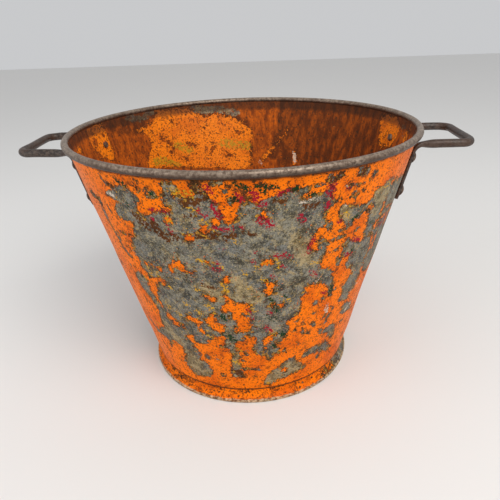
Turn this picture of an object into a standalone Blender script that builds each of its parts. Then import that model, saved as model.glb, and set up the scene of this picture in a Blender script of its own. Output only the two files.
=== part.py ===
"""Two-handled sheet steel bucket on a flared foot ring.

Metres, +Z up. The origin is on the ground under the middle of the foot, and +X runs through both handles.
The body is one sheet rolled into a cone and lapped behind the left handle, its top edge rolled round a wire.
The floor is a dished disc inside the cone, and the foot ring is a flared band with a rolled edge below it.
Each handle is one steel rod whose ends are forged into flat straps, held to the wall by two rivets each.
"""

import math

import bmesh
import bpy
from mathutils import Vector

MM = 0.001

# Overall size
HEIGHT = 281.0 * MM
RIM_RADIUS = 190.0 * MM

# Fit between pieces that touch
CLEARANCE = 0.3 * MM

# Body: conical wall and rolled rim
BODY_SHEET = 0.9 * MM
BASE_RADIUS = 115.0 * MM
LIP_HEIGHT = 15.5 * MM
RIM_WIRE_DIAMETER = 4.7 * MM
RIM_OVERHANG = 0.8 * MM
RIM_ROLL_END = -110.0
LAP_WIDTH = 24.0 * MM
LAP_STOP = 6.0 * MM
LAP_SINK = 0.45 * MM

# Floor
FLOOR_SHEET = 1.0 * MM
FLOOR_HEIGHT = 19.0 * MM
FLOOR_FLANGE = 9.0 * MM
FLOOR_BEND = 2.5 * MM

# Foot ring
FOOT_SHEET = 0.9 * MM
FOOT_SPREAD = 4.0 * MM
FOOT_ROLL_DIAMETER = 5.0 * MM
FOOT_FLANGE = 9.0 * MM
FOOT_BEND = 1.5 * MM
FLARE_ANGLE = 60.0
FOOT_ROLL_END = -215.0
FOOT_REST_ANGLE = 15.0

# Handles
ROD_DIAMETER = 8.7 * MM
HANDLE_PROJECTION = 46.0 * MM
HANDLE_DROP = 18.5 * MM
GRIP_HALF_WIDTH = 41.0 * MM
GRIP_BEND = 12.0 * MM
LEG_ANGLE = 14.0
LEG_BEND = 9.0 * MM
STRAP_WIDTH = 17.0 * MM
STRAP_THICKNESS = 3.5 * MM
STRAP_LENGTH = 61.0 * MM
STRAP_SQUARENESS = 6.0
FORGE_RUN = 12.0 * MM

# Rivets
RIVET_DIAMETER = 5.6 * MM
RIVET_HEAD_DIAMETER = 11.5 * MM
RIVET_HEAD_HEIGHT = 2.5 * MM
RIVET_TAIL_DIAMETER = 8.4 * MM
RIVET_TAIL_HEIGHT = 1.6 * MM
RIVET_TAIL_CHAMFER = 0.8 * MM
UPPER_RIVET_DROP = 12.5 * MM
LOWER_RIVET_INSET = 11.0 * MM

# Facets
RING_STEPS = 64
WIRE_SIDES = 10
RIM_ROLL_STEPS = (5, 4, 4)
FOOT_ROLL_STEPS = (2, 2)
FOOT_CURL_STEPS = (4,)
BEND_STEPS = 2
FLARE_STEPS = 3
LAP_STEPS = 3
SECTION_POINTS = 12
LEG_BEND_STEPS = 7
GRIP_BEND_STEPS = 6
RIVET_STEPS = 14
DOME_STEPS = 3
TIP_ANGLES = (25.0, 45.0, 65.0, 90.0)
NECK_SHARES = (0.5, 1.0)

MERGE = 0.00001

# Sizes worked out from the ones above
RIM_ROLL_RADIUS = RIM_WIRE_DIAMETER / 2 + CLEARANCE + BODY_SHEET
ROLL_RADIUS_AT = RIM_RADIUS - RIM_ROLL_RADIUS
ROLL_HEIGHT_AT = HEIGHT - RIM_ROLL_RADIUS
WALL_TOP_RADIUS = RIM_RADIUS - 2 * RIM_ROLL_RADIUS + RIM_OVERHANG
WALL_TOP_HEIGHT = ROLL_HEIGHT_AT - math.sqrt(RIM_ROLL_RADIUS**2 - (ROLL_RADIUS_AT - WALL_TOP_RADIUS) ** 2)
BASE_INNER_RADIUS = BASE_RADIUS - BODY_SHEET
WALL_LEAN = math.atan2(WALL_TOP_RADIUS - BASE_INNER_RADIUS, WALL_TOP_HEIGHT - LIP_HEIGHT)
FACET = math.cos(math.pi / RING_STEPS)
HANDLE_HEIGHT = HEIGHT - HANDLE_DROP
HANDLE_REACH = RIM_RADIUS + HANDLE_PROJECTION
FOOT_RADIUS = BASE_RADIUS + FOOT_SPREAD


def wall_inner_radius(height):
    """Radius of the wall's inner face at a height."""
    return BASE_INNER_RADIUS + (height - LIP_HEIGHT) * math.tan(WALL_LEAN)


def wall_outer_radius(height):
    """Radius of the wall's outer face at a height."""
    return wall_inner_radius(height) + BODY_SHEET / math.cos(WALL_LEAN)


def wall_normal(azimuth):
    """Outward normal of the wall at an azimuth in radians."""
    level = math.cos(WALL_LEAN)
    return Vector((level * math.cos(azimuth), level * math.sin(azimuth), -math.sin(WALL_LEAN)))


def wall_up(azimuth):
    """Direction up the wall at an azimuth in radians."""
    level = math.sin(WALL_LEAN)
    return Vector((level * math.cos(azimuth), level * math.sin(azimuth), math.cos(WALL_LEAN)))


def wall_point(azimuth, height, proud=0.0):
    """Point on the flat of the wall's outer face, moved outward along its normal."""
    radius = wall_outer_radius(height) * FACET
    on_wall = Vector((radius * math.cos(azimuth), radius * math.sin(azimuth), height))
    return on_wall + wall_normal(azimuth) * proud


def arc(centre, radius, start, stop, steps):
    """Points of an arc in the profile plane, from start to stop in degrees."""
    points = []
    for step in range(steps + 1):
        angle = math.radians(start + (stop - start) * step / steps)
        points.append((centre[0] + radius * math.cos(angle), centre[1] + radius * math.sin(angle)))
    return points


def arc_through(centre, radius, stops, steps):
    """Points of an arc with a point on each of its stops, in degrees."""
    points = arc(centre, radius, stops[0], stops[0], 1)[:1]
    for start, stop, count in zip(stops, stops[1:], steps):
        points += arc(centre, radius, start, stop, count)[1:]
    return points


def clear_scene():
    """Remove every object that the file opens with."""
    for item in list(bpy.data.objects):
        bpy.data.objects.remove(item, do_unlink=True)


def new_collection(name):
    """A collection in the scene."""
    group = bpy.data.collections.new(name)
    bpy.context.scene.collection.children.link(group)
    return group


def material(name, colour, roughness, metallic):
    """A plain Principled material."""
    made = bpy.data.materials.new(name)
    made.use_nodes = True
    shader = made.node_tree.nodes["Principled BSDF"]
    shader.inputs["Base Color"].default_value = (*colour, 1.0)
    shader.inputs["Roughness"].default_value = roughness
    shader.inputs["Metallic"].default_value = metallic
    made.diffuse_color = (*colour, 1.0)
    return made


def add_object(name, mesh, group, finish):
    """Put a mesh in a collection as a named object with one material."""
    made = bpy.data.objects.new(name, mesh)
    group.objects.link(made)
    if finish is not None:
        mesh.materials.append(finish)
    return made


def profile_mesh(name, points, closed=False):
    """Mesh of one profile line in the XZ plane."""
    mesh = bpy.data.meshes.new(name)
    last = len(points) - 1
    edges = [(place, place + 1) for place in range(last)]
    if closed:
        edges.append((last, 0))
    mesh.from_pydata([(radius, 0.0, height) for radius, height in points], edges, [])
    return mesh


def add_screw(item, steps, angle=2 * math.pi):
    """Turn a profile about the object's own Z axis."""
    screw = item.modifiers.new("turn", "SCREW")
    screw.axis = "Z"
    screw.angle = angle
    screw.steps = steps
    screw.render_steps = steps
    screw.use_merge_vertices = angle == 2 * math.pi
    screw.merge_threshold = MERGE
    screw.use_smooth_shade = True


def add_sheet(item, thickness):
    """Give an open surface its sheet thickness, behind its faces."""
    sheet = item.modifiers.new("sheet", "SOLIDIFY")
    sheet.thickness = thickness
    sheet.offset = -1.0
    sheet.use_even_offset = True


def add_boolean(item, other, operation):
    """Join another object to this one, or cut it away."""
    cut = item.modifiers.new(operation.lower(), "BOOLEAN")
    cut.operation = operation
    cut.solver = "EXACT"
    cut.object = other


def hide_guide(item):
    """Mark an object as a guide or a cutter."""
    item.hide_render = True
    item.display_type = "WIRE"


def leg_azimuths():
    """Azimuth of each handle leg, in radians, by its name."""
    leg = math.radians(LEG_ANGLE)
    return {
        "right_front": -leg,
        "right_back": leg,
        "left_back": math.pi - leg,
        "left_front": math.pi + leg,
    }


def rivet_heights():
    """Height of each rivet on the wall, by its name."""
    lower_drop = (STRAP_LENGTH - LOWER_RIVET_INSET) * math.cos(WALL_LEAN)
    return {"upper": HANDLE_HEIGHT - UPPER_RIVET_DROP, "lower": HANDLE_HEIGHT - lower_drop}


def lap_guide(guides):
    """Inner end of the body sheet where it laps over itself behind the left handle's back leg."""
    bottom = FLOOR_HEIGHT + FLOOR_FLANGE + LAP_STOP
    top = WALL_TOP_HEIGHT - LAP_STOP
    angle = LAP_WIDTH / wall_inner_radius(sum(rivet_heights().values()) / 2)
    proud = BODY_SHEET / math.cos(WALL_LEAN)
    points = [(wall_inner_radius(height) - proud, height) for height in (bottom, top)]
    guide = add_object("lap_guide", profile_mesh("lap_guide", points), guides, None)
    guide.rotation_euler.z = leg_azimuths()["left_back"] - angle / 2
    add_screw(guide, LAP_STEPS, angle)
    add_sheet(guide, BODY_SHEET + LAP_SINK)
    hide_guide(guide)
    return guide


def rivet_cutter(name, azimuth, height, guides):
    """Cutter for one rivet hole, through the strap, the wall and the lap."""
    mesh = bpy.data.meshes.new(name)
    shape = bmesh.new()
    radius = RIVET_DIAMETER / 2 + CLEARANCE
    reach = 2 * (STRAP_THICKNESS + 3 * BODY_SHEET + 2 * CLEARANCE)
    bmesh.ops.create_cone(
        shape, cap_ends=True, segments=RIVET_STEPS, radius1=radius, radius2=radius, depth=reach
    )
    shape.to_mesh(mesh)
    shape.free()
    cutter = add_object(name, mesh, guides, None)
    place_on_wall(cutter, azimuth, height)
    hide_guide(cutter)
    return cutter


def place_on_wall(item, azimuth, height):
    """Stand an object on the wall's outer face, its Z axis along the wall's outward normal."""
    item.location = wall_point(azimuth, height)
    item.rotation_euler = wall_normal(azimuth).to_track_quat("Z", "Y").to_euler()


def body(group, finish, lap, cutters):
    """Cone with its top edge rolled outward round the rim wire."""
    meet = math.degrees(math.acos((ROLL_RADIUS_AT - WALL_TOP_RADIUS) / RIM_ROLL_RADIUS))
    roll_centre = (ROLL_RADIUS_AT, ROLL_HEIGHT_AT)
    points = [(BASE_INNER_RADIUS, LIP_HEIGHT)]
    stops = (180.0 + meet, 90.0, 0.0, RIM_ROLL_END)
    points += arc_through(roll_centre, RIM_ROLL_RADIUS, stops, RIM_ROLL_STEPS)
    made = add_object("body", profile_mesh("body", points), group, finish)
    add_screw(made, RING_STEPS)
    add_sheet(made, BODY_SHEET)
    add_boolean(made, lap, "UNION")
    for cutter in cutters:
        add_boolean(made, cutter, "DIFFERENCE")
    return made


def rim_wire(group, finish):
    """Stiffening wire inside the rolled rim."""
    centre = (ROLL_RADIUS_AT, ROLL_HEIGHT_AT)
    points = arc(centre, RIM_WIRE_DIAMETER / 2, 90.0, -270.0, WIRE_SIDES)[:-1]
    made = add_object("rim_wire", profile_mesh("rim_wire", points, closed=True), group, finish)
    add_screw(made, RING_STEPS)
    return made


def bottom_disc(group, finish):
    """Flat floor with its edge turned up against the inside of the cone."""
    face_gap = (CLEARANCE + FLOOR_SHEET) / math.cos(WALL_LEAN)
    flange_top = FLOOR_HEIGHT + FLOOR_FLANGE
    lean = math.degrees(WALL_LEAN)
    half_turn = math.radians(45.0 - lean / 2)
    corner = wall_inner_radius(FLOOR_HEIGHT) - face_gap
    bend_centre = (corner - FLOOR_BEND * math.tan(half_turn), FLOOR_HEIGHT + FLOOR_BEND)
    points = [(0.0, FLOOR_HEIGHT)]
    points += arc(bend_centre, FLOOR_BEND, -90.0, -lean, BEND_STEPS)
    points.append((wall_inner_radius(flange_top) - face_gap, flange_top))
    made = add_object("bottom_disc", profile_mesh("bottom_disc", points), group, finish)
    add_screw(made, RING_STEPS)
    add_sheet(made, FLOOR_SHEET)
    return made


def foot_ring(group, finish):
    """Band under the floor that flares out to a rolled edge, flattened where it stands."""
    flange_height = FLOOR_HEIGHT - FLOOR_SHEET - CLEARANCE
    neck = wall_inner_radius(LIP_HEIGHT) - CLEARANCE
    roll = FOOT_ROLL_DIAMETER / 2
    rest = math.cos(math.radians(FOOT_REST_ANGLE))
    roll_centre = (FOOT_RADIUS - roll, roll * rest)
    turn = math.radians(FLARE_ANGLE)
    flare_end = (roll_centre[0] + roll * math.cos(turn), roll_centre[1] + roll * math.sin(turn))
    flare_radius = (flare_end[0] - neck) / (1.0 - math.cos(turn))
    flare_centre = (neck + flare_radius, flare_end[1] + flare_radius * math.sin(turn))
    points = [(neck - FOOT_FLANGE, flange_height)]
    points += arc((neck - FOOT_BEND, flange_height - FOOT_BEND), FOOT_BEND, 90.0, 0.0, BEND_STEPS)
    points += arc(flare_centre, flare_radius, 180.0, 180.0 + FLARE_ANGLE, FLARE_STEPS)
    points += arc_through(roll_centre, roll, (FLARE_ANGLE, 0.0, FOOT_REST_ANGLE - 90.0), FOOT_ROLL_STEPS)[1:]
    points += arc_through(roll_centre, roll, (-90.0 - FOOT_REST_ANGLE, FOOT_ROLL_END), FOOT_CURL_STEPS)
    made = add_object("foot_ring", profile_mesh("foot_ring", points), group, finish)
    add_screw(made, RING_STEPS)
    add_sheet(made, FOOT_SHEET)
    return made


def rounded_path(corners, bends, steps):
    """Points and tangents of a polyline whose inner corners are arcs."""
    path = [(corners[0], (corners[1] - corners[0]).normalized())]
    for place, bend in enumerate(bends):
        before, here, after = corners[place : place + 3]
        into = (here - before).normalized()
        out = (after - here).normalized()
        turn = into.angle(out)
        back = bend * math.tan(turn / 2)
        side = (out - into * into.dot(out)).normalized()
        for step in range(steps[place] + 1):
            angle = turn * step / steps[place]
            along = bend * math.sin(angle) - back
            aside = bend * (1.0 - math.cos(angle))
            path.append((here + into * along + side * aside, into * math.cos(angle) + side * math.sin(angle)))
    path.append((corners[-1], (corners[-1] - corners[-2]).normalized()))
    return path


def leg_stations():
    """Half of the handle's centre line, from the strap's tip to the middle of the grip, with its lengths."""
    azimuth = math.radians(LEG_ANGLE)
    proud = CLEARANCE + STRAP_THICKNESS / 2
    knee_height = HANDLE_HEIGHT + proud * math.sin(WALL_LEAN)
    knee = wall_point(azimuth, knee_height, proud)
    tip = knee - wall_up(azimuth) * STRAP_LENGTH
    corner = Vector((HANDLE_REACH, GRIP_HALF_WIDTH, HANDLE_HEIGHT))
    middle = Vector((HANDLE_REACH, 0.0, HANDLE_HEIGHT))
    bent = rounded_path([tip, knee, corner, middle], [LEG_BEND, GRIP_BEND], [LEG_BEND_STEPS, GRIP_BEND_STEPS])
    up = bent[0][1]
    half = STRAP_WIDTH / 2
    rounding = [half * (1.0 - math.cos(math.radians(angle))) for angle in TIP_ANGLES]
    stations = [(tip + up * along, up) for along in rounding]
    leg_out = bent[LEG_BEND_STEPS + 1]
    stations += bent[1 : LEG_BEND_STEPS + 2]
    stations += [(leg_out[0] + leg_out[1] * (FORGE_RUN * share), leg_out[1]) for share in NECK_SHARES]
    stations += bent[LEG_BEND_STEPS + 2 :]
    lengths = [rounding[0]]
    for here, there in zip(stations, stations[1:]):
        lengths.append(lengths[-1] + (there[0] - here[0]).length)
    return stations, lengths


def section_point(width, thickness, power, angle):
    """Point on a section that is round at power 2 and squarer at a higher power."""
    across = math.cos(angle)
    through = math.sin(angle)
    share = 2.0 / power
    wide = math.copysign(abs(across) ** share, across)
    thick = math.copysign(abs(through) ** share, through)
    return wide * width / 2, thick * thickness / 2


def handle_mesh():
    """Half of a handle: strap, forged neck, arm and half the grip, lofted along the rod."""
    stations, lengths = leg_stations()
    bend_start = lengths[len(TIP_ANGLES)]
    forge_end = lengths[len(TIP_ANGLES) + LEG_BEND_STEPS] + FORGE_RUN
    half = STRAP_WIDTH / 2
    shape = bmesh.new()
    rings = []
    facing = wall_normal(math.radians(LEG_ANGLE))
    for (spot, tangent), along in zip(stations, lengths):
        facing = (facing - tangent * facing.dot(tangent)).normalized()
        side = tangent.cross(facing)
        share = min(max((along - bend_start) / (forge_end - bend_start), 0.0), 1.0)
        share = share * share * (3.0 - 2.0 * share)
        width = STRAP_WIDTH + (ROD_DIAMETER - STRAP_WIDTH) * share
        if along < half:
            width *= math.sqrt(1.0 - (1.0 - along / half) ** 2)
        thickness = STRAP_THICKNESS + (ROD_DIAMETER - STRAP_THICKNESS) * share
        power = STRAP_SQUARENESS + (2.0 - STRAP_SQUARENESS) * share
        ring = []
        for place in range(SECTION_POINTS):
            angle = 2 * math.pi * (place + 0.5) / SECTION_POINTS
            wide, thick = section_point(width, thickness, power, angle)
            ring.append(shape.verts.new(spot + side * wide + facing * thick))
        rings.append(ring)
    for first, second in zip(rings, rings[1:]):
        for place in range(SECTION_POINTS):
            following = (place + 1) % SECTION_POINTS
            shape.faces.new((first[place], first[following], second[following], second[place]))
    shape.faces.new(list(reversed(rings[0])))
    for vert in rings[-1]:
        vert.co.y = 0.0
    mesh = bpy.data.meshes.new("handle")
    shape.to_mesh(mesh)
    shape.free()
    mesh.shade_smooth()
    return mesh


def handle(name, turn, group, finish, cutters):
    """One handle: the half mirrored at the grip's middle, then drilled for its rivets."""
    made = add_object(name, handle_mesh(), group, finish)
    made.rotation_euler.z = turn
    mirror = made.modifiers.new("other_half", "MIRROR")
    mirror.use_axis = (False, True, False)
    mirror.merge_threshold = MERGE
    for cutter in cutters:
        add_boolean(made, cutter, "DIFFERENCE")
    return made


def rivet(name, azimuth, height, layers, group, finish):
    """Domed rivet through the strap and the wall, with its closed tail inside the bucket."""
    shank = RIVET_DIAMETER / 2
    head = RIVET_HEAD_DIAMETER / 2
    tail = RIVET_TAIL_DIAMETER / 2
    head_base = STRAP_THICKNESS + 2 * CLEARANCE
    tail_base = -layers * BODY_SHEET - CLEARANCE
    dome_radius = (head**2 + RIVET_HEAD_HEIGHT**2) / (2 * RIVET_HEAD_HEIGHT)
    dome_centre = (0.0, head_base + RIVET_HEAD_HEIGHT - dome_radius)
    dome_edge = math.degrees(math.atan2(head_base - dome_centre[1], head))
    tail_end = tail_base - RIVET_TAIL_HEIGHT
    points = [(0.0, head_base + RIVET_HEAD_HEIGHT)]
    points += arc(dome_centre, dome_radius, 90.0, dome_edge, DOME_STEPS)[1:]
    points += [(shank, head_base), (shank, tail_base), (tail, tail_base)]
    points += [(tail, tail_end + RIVET_TAIL_CHAMFER), (tail - RIVET_TAIL_CHAMFER, tail_end), (0.0, tail_end)]
    made = add_object(name, profile_mesh(name, points), group, finish)
    place_on_wall(made, azimuth, height)
    add_screw(made, RIVET_STEPS)
    return made


def build():
    """Make every piece of the bucket."""
    clear_scene()
    bucket = new_collection("rusty_bucket")
    guides = new_collection("cutters")
    paint = material("orange_paint", (0.80, 0.19, 0.02), 0.55, 0.0)
    sheet = material("weathered_sheet", (0.22, 0.12, 0.06), 0.75, 0.3)
    rod = material("dark_rod", (0.08, 0.055, 0.05), 0.5, 0.6)
    rust = material("rusty_rivet", (0.16, 0.09, 0.06), 0.7, 0.4)

    legs = leg_azimuths()
    heights = rivet_heights()
    cutters = {}
    for leg, azimuth in legs.items():
        cutters[leg] = [
            rivet_cutter(f"{leg}_{level}_hole", azimuth, height, guides) for level, height in heights.items()
        ]
    every_cutter = [cutter for pair in cutters.values() for cutter in pair]

    body(bucket, paint, lap_guide(guides), every_cutter)
    rim_wire(bucket, rod)
    bottom_disc(bucket, sheet)
    foot_ring(bucket, paint)
    handle("right_handle", 0.0, bucket, rod, cutters["right_front"] + cutters["right_back"])
    handle("left_handle", math.pi, bucket, rod, cutters["left_front"] + cutters["left_back"])
    for leg, azimuth in legs.items():
        layers = 2 if leg == "left_back" else 1
        for level, height in heights.items():
            rivet(f"{leg}_{level}_rivet", azimuth, height, layers, bucket, rust)


build()
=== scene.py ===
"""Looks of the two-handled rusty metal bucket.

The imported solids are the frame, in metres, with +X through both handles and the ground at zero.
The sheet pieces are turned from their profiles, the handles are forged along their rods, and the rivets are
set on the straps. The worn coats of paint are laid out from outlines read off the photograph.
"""

import math

import bmesh
import bpy
import numpy as np
from bpy.props import FloatProperty, FloatVectorProperty, IntProperty, PointerProperty
from mathutils import Matrix, Vector, noise


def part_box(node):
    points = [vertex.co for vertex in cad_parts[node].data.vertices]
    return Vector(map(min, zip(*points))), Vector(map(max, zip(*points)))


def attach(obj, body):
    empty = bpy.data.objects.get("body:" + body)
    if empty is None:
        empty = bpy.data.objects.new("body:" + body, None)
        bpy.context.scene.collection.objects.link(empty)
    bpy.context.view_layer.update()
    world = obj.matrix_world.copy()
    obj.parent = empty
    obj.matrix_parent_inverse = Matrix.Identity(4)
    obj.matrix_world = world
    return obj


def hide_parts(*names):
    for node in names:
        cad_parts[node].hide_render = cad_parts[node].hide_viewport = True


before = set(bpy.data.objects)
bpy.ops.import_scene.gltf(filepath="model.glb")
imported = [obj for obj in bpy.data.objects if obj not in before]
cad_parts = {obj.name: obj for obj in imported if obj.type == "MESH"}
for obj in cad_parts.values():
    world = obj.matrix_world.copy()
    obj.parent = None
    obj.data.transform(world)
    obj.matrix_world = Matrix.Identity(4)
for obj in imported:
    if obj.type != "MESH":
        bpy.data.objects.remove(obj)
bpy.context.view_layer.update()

bl_info = {
    "name": "Rusty Metal Bucket",
    "version": (1, 0, 0),
    "blender": (4, 5, 0),
    "location": "3D View > Sidebar > Bucket",
    "description": "Builds the worn orange bucket piece by piece around its solids",
    "category": "Add Mesh",
}

MM = 0.001
BODY = "root"
RIM_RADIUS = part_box("body")[1][1]
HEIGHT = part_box("body")[1][2]
HANDLE_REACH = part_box("right_handle")[1][0]

# Sizes that the solids were made with
CLEARANCE = 0.3 * MM
BODY_SHEET = 0.9 * MM
BASE_RADIUS = 115.0 * MM
LIP_HEIGHT = 15.5 * MM
RIM_ROLL_RADIUS = 3.55 * MM
RIM_OVERHANG = 0.8 * MM
RIM_ROLL_END = -110.0
LAP_WIDTH = 24.0 * MM
LAP_STOP = 6.0 * MM
FLOOR_SHEET = 1.0 * MM
FLOOR_HEIGHT = 19.0 * MM
FLOOR_FLANGE = 9.0 * MM
FLOOR_BEND = 2.5 * MM
FOOT_SHEET = 0.9 * MM
FOOT_RADIUS = 119.0 * MM
FOOT_ROLL = 2.5 * MM
FOOT_FLANGE = 9.0 * MM
FOOT_BEND = 1.5 * MM
FLARE_ANGLE = 60.0
FOOT_ROLL_END = -215.0
FOOT_REST_ANGLE = 15.0
HANDLE_HEIGHT = 262.5 * MM
GRIP_HALF_WIDTH = 41.0 * MM
LEG_ANGLE = 14.0
LEG_BEND = 9.0 * MM
GRIP_BEND = 12.0 * MM
FORGE_RUN = 12.0 * MM
STRAP_SQUARENESS = 6.0
UPPER_RIVET_DROP = 12.5 * MM
LOWER_RIVET_INSET = 11.0 * MM
RIVET_DIAMETER = 5.6 * MM
STRAP_LENGTH = 61.0 * MM

# The traced front of the wall, which has the finer faces
FRONT_START = math.radians(190.0)
FRONT_SWEEP = math.radians(160.0)

# Metres within which two points of a sheet are one, and radians by which the lap's last column may miss
MERGE_DISTANCE = 0.000002
LAP_ROUNDING = 0.0002

# Dents of the wall: broad and fine ones, each with how many go to a dent's size and their share of the depth
DENT_WAVES = ((1.0, 1.0), (3.7, 0.3))
DENT_FROM = 24.0 * MM
DENT_TO = 270.0 * MM
DENT_FADE = 26.0 * MM
DENT_FREE_STRAPS_FROM = 190.0 * MM
DENT_FREE_STRAPS_HALF_WIDTH = 56.0 * MM

# Steps along a handle and round it, and the half widths past a strap's tip where its plain steps start
STATION_GAP = 3.0 * MM
LEG_BEND_STEPS = 14
GRIP_BEND_STEPS = 12
STRAP_TIP_ANGLES = range(9, 91, 9)
TIP_CLEAR = 1.05
HANDLE_SIDES = 24

# How far the hammer left a handle from true: its path, and shares of its width and thickness
HAMMER_WANDER = 0.5 * MM
HAMMER_WIDTH = 0.035
HAMMER_THICKNESS = 0.03

# Small edges of a rivet, and the share by which its size changes
HEAD_EDGE = 0.3 * MM
HEAD_UNDERCUT = 0.2 * MM
TAIL_SIDE = 0.9 * MM
TAIL_EDGE = 0.35 * MM
TAIL_FACE = 1.1 * MM
RIVET_CHANGE = 0.04

# Sizes worked out from the ones above
ROLL_RADIUS_AT = RIM_RADIUS - RIM_ROLL_RADIUS
ROLL_HEIGHT_AT = HEIGHT - RIM_ROLL_RADIUS
WALL_TOP_RADIUS = RIM_RADIUS - 2 * RIM_ROLL_RADIUS + RIM_OVERHANG
WALL_TOP_HEIGHT = ROLL_HEIGHT_AT - math.sqrt(RIM_ROLL_RADIUS**2 - (ROLL_RADIUS_AT - WALL_TOP_RADIUS) ** 2)
BASE_INNER_RADIUS = BASE_RADIUS - BODY_SHEET
WALL_SLOPE = (WALL_TOP_RADIUS - BASE_INNER_RADIUS) / (WALL_TOP_HEIGHT - LIP_HEIGHT)
WALL_LEAN = math.atan(WALL_SLOPE)
WALL_PROUD = BODY_SHEET / math.cos(WALL_LEAN)

# The photograph's camera, with pixels counted from the top left of a 500 by 500 frame
FRAME_PIXELS = 500.0
CAMERA_PLACE = (0.0361, -0.5507, 0.3873)
CAMERA_YAW = 0.05685
CAMERA_PITCH = 0.3666
CAMERA_ROLL = -0.0384
FOCAL_PIXELS = 503.47
CENTRE_PIXEL = (250.0, 212.0)
SENSOR = 36.0

# Where the photograph's layout takes over from the invented one: how far a face turns towards the camera
OUTSIDE_SEEN = (0.10, 0.26)
INSIDE_SEEN = (-0.05, 0.15)
INSIDE_SEEN_HEIGHTS = (150.0 * MM, 185.0 * MM)

# Millimetres past which the edge of a mark no longer counts, and over which a stain fades
FAR_MARK = 25.0
STAIN_FADE = 7.0

# Painted sheen on the sides that turn away from the camera, as in the photograph: its strength, and how far
# aside it starts and is full
SIDE_SHEEN = 0.62
SIDE_SHEEN_BAND = (0.66, 0.98)

# Bands of dirt and painted shade, in millimetres of height: where it starts, where it is full and how wavy
# its edge is. They darken the crease where the wall meets the foot, the foot's top under the body's lip, and
# the wall under the rim, inside and out
BODY_SOIL_AND_SHADE = ((18.2, 16.6, 2.4), (270.0, 272.5, 3.0))
FOOT_SOIL_AND_SHADE = ((13.4, 14.8, 1.6),)
INSIDE_SOIL_AND_SHADE = (262.0, 268.0, 5.0)
FOOT_RUB = (4.8, 3.8, 1.4)
# Heights of the rim's crest, which is painted paler as wear and a painted highlight, with painted shade just
# below it
RIM_CREST = (277.0, 280.6)

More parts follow.
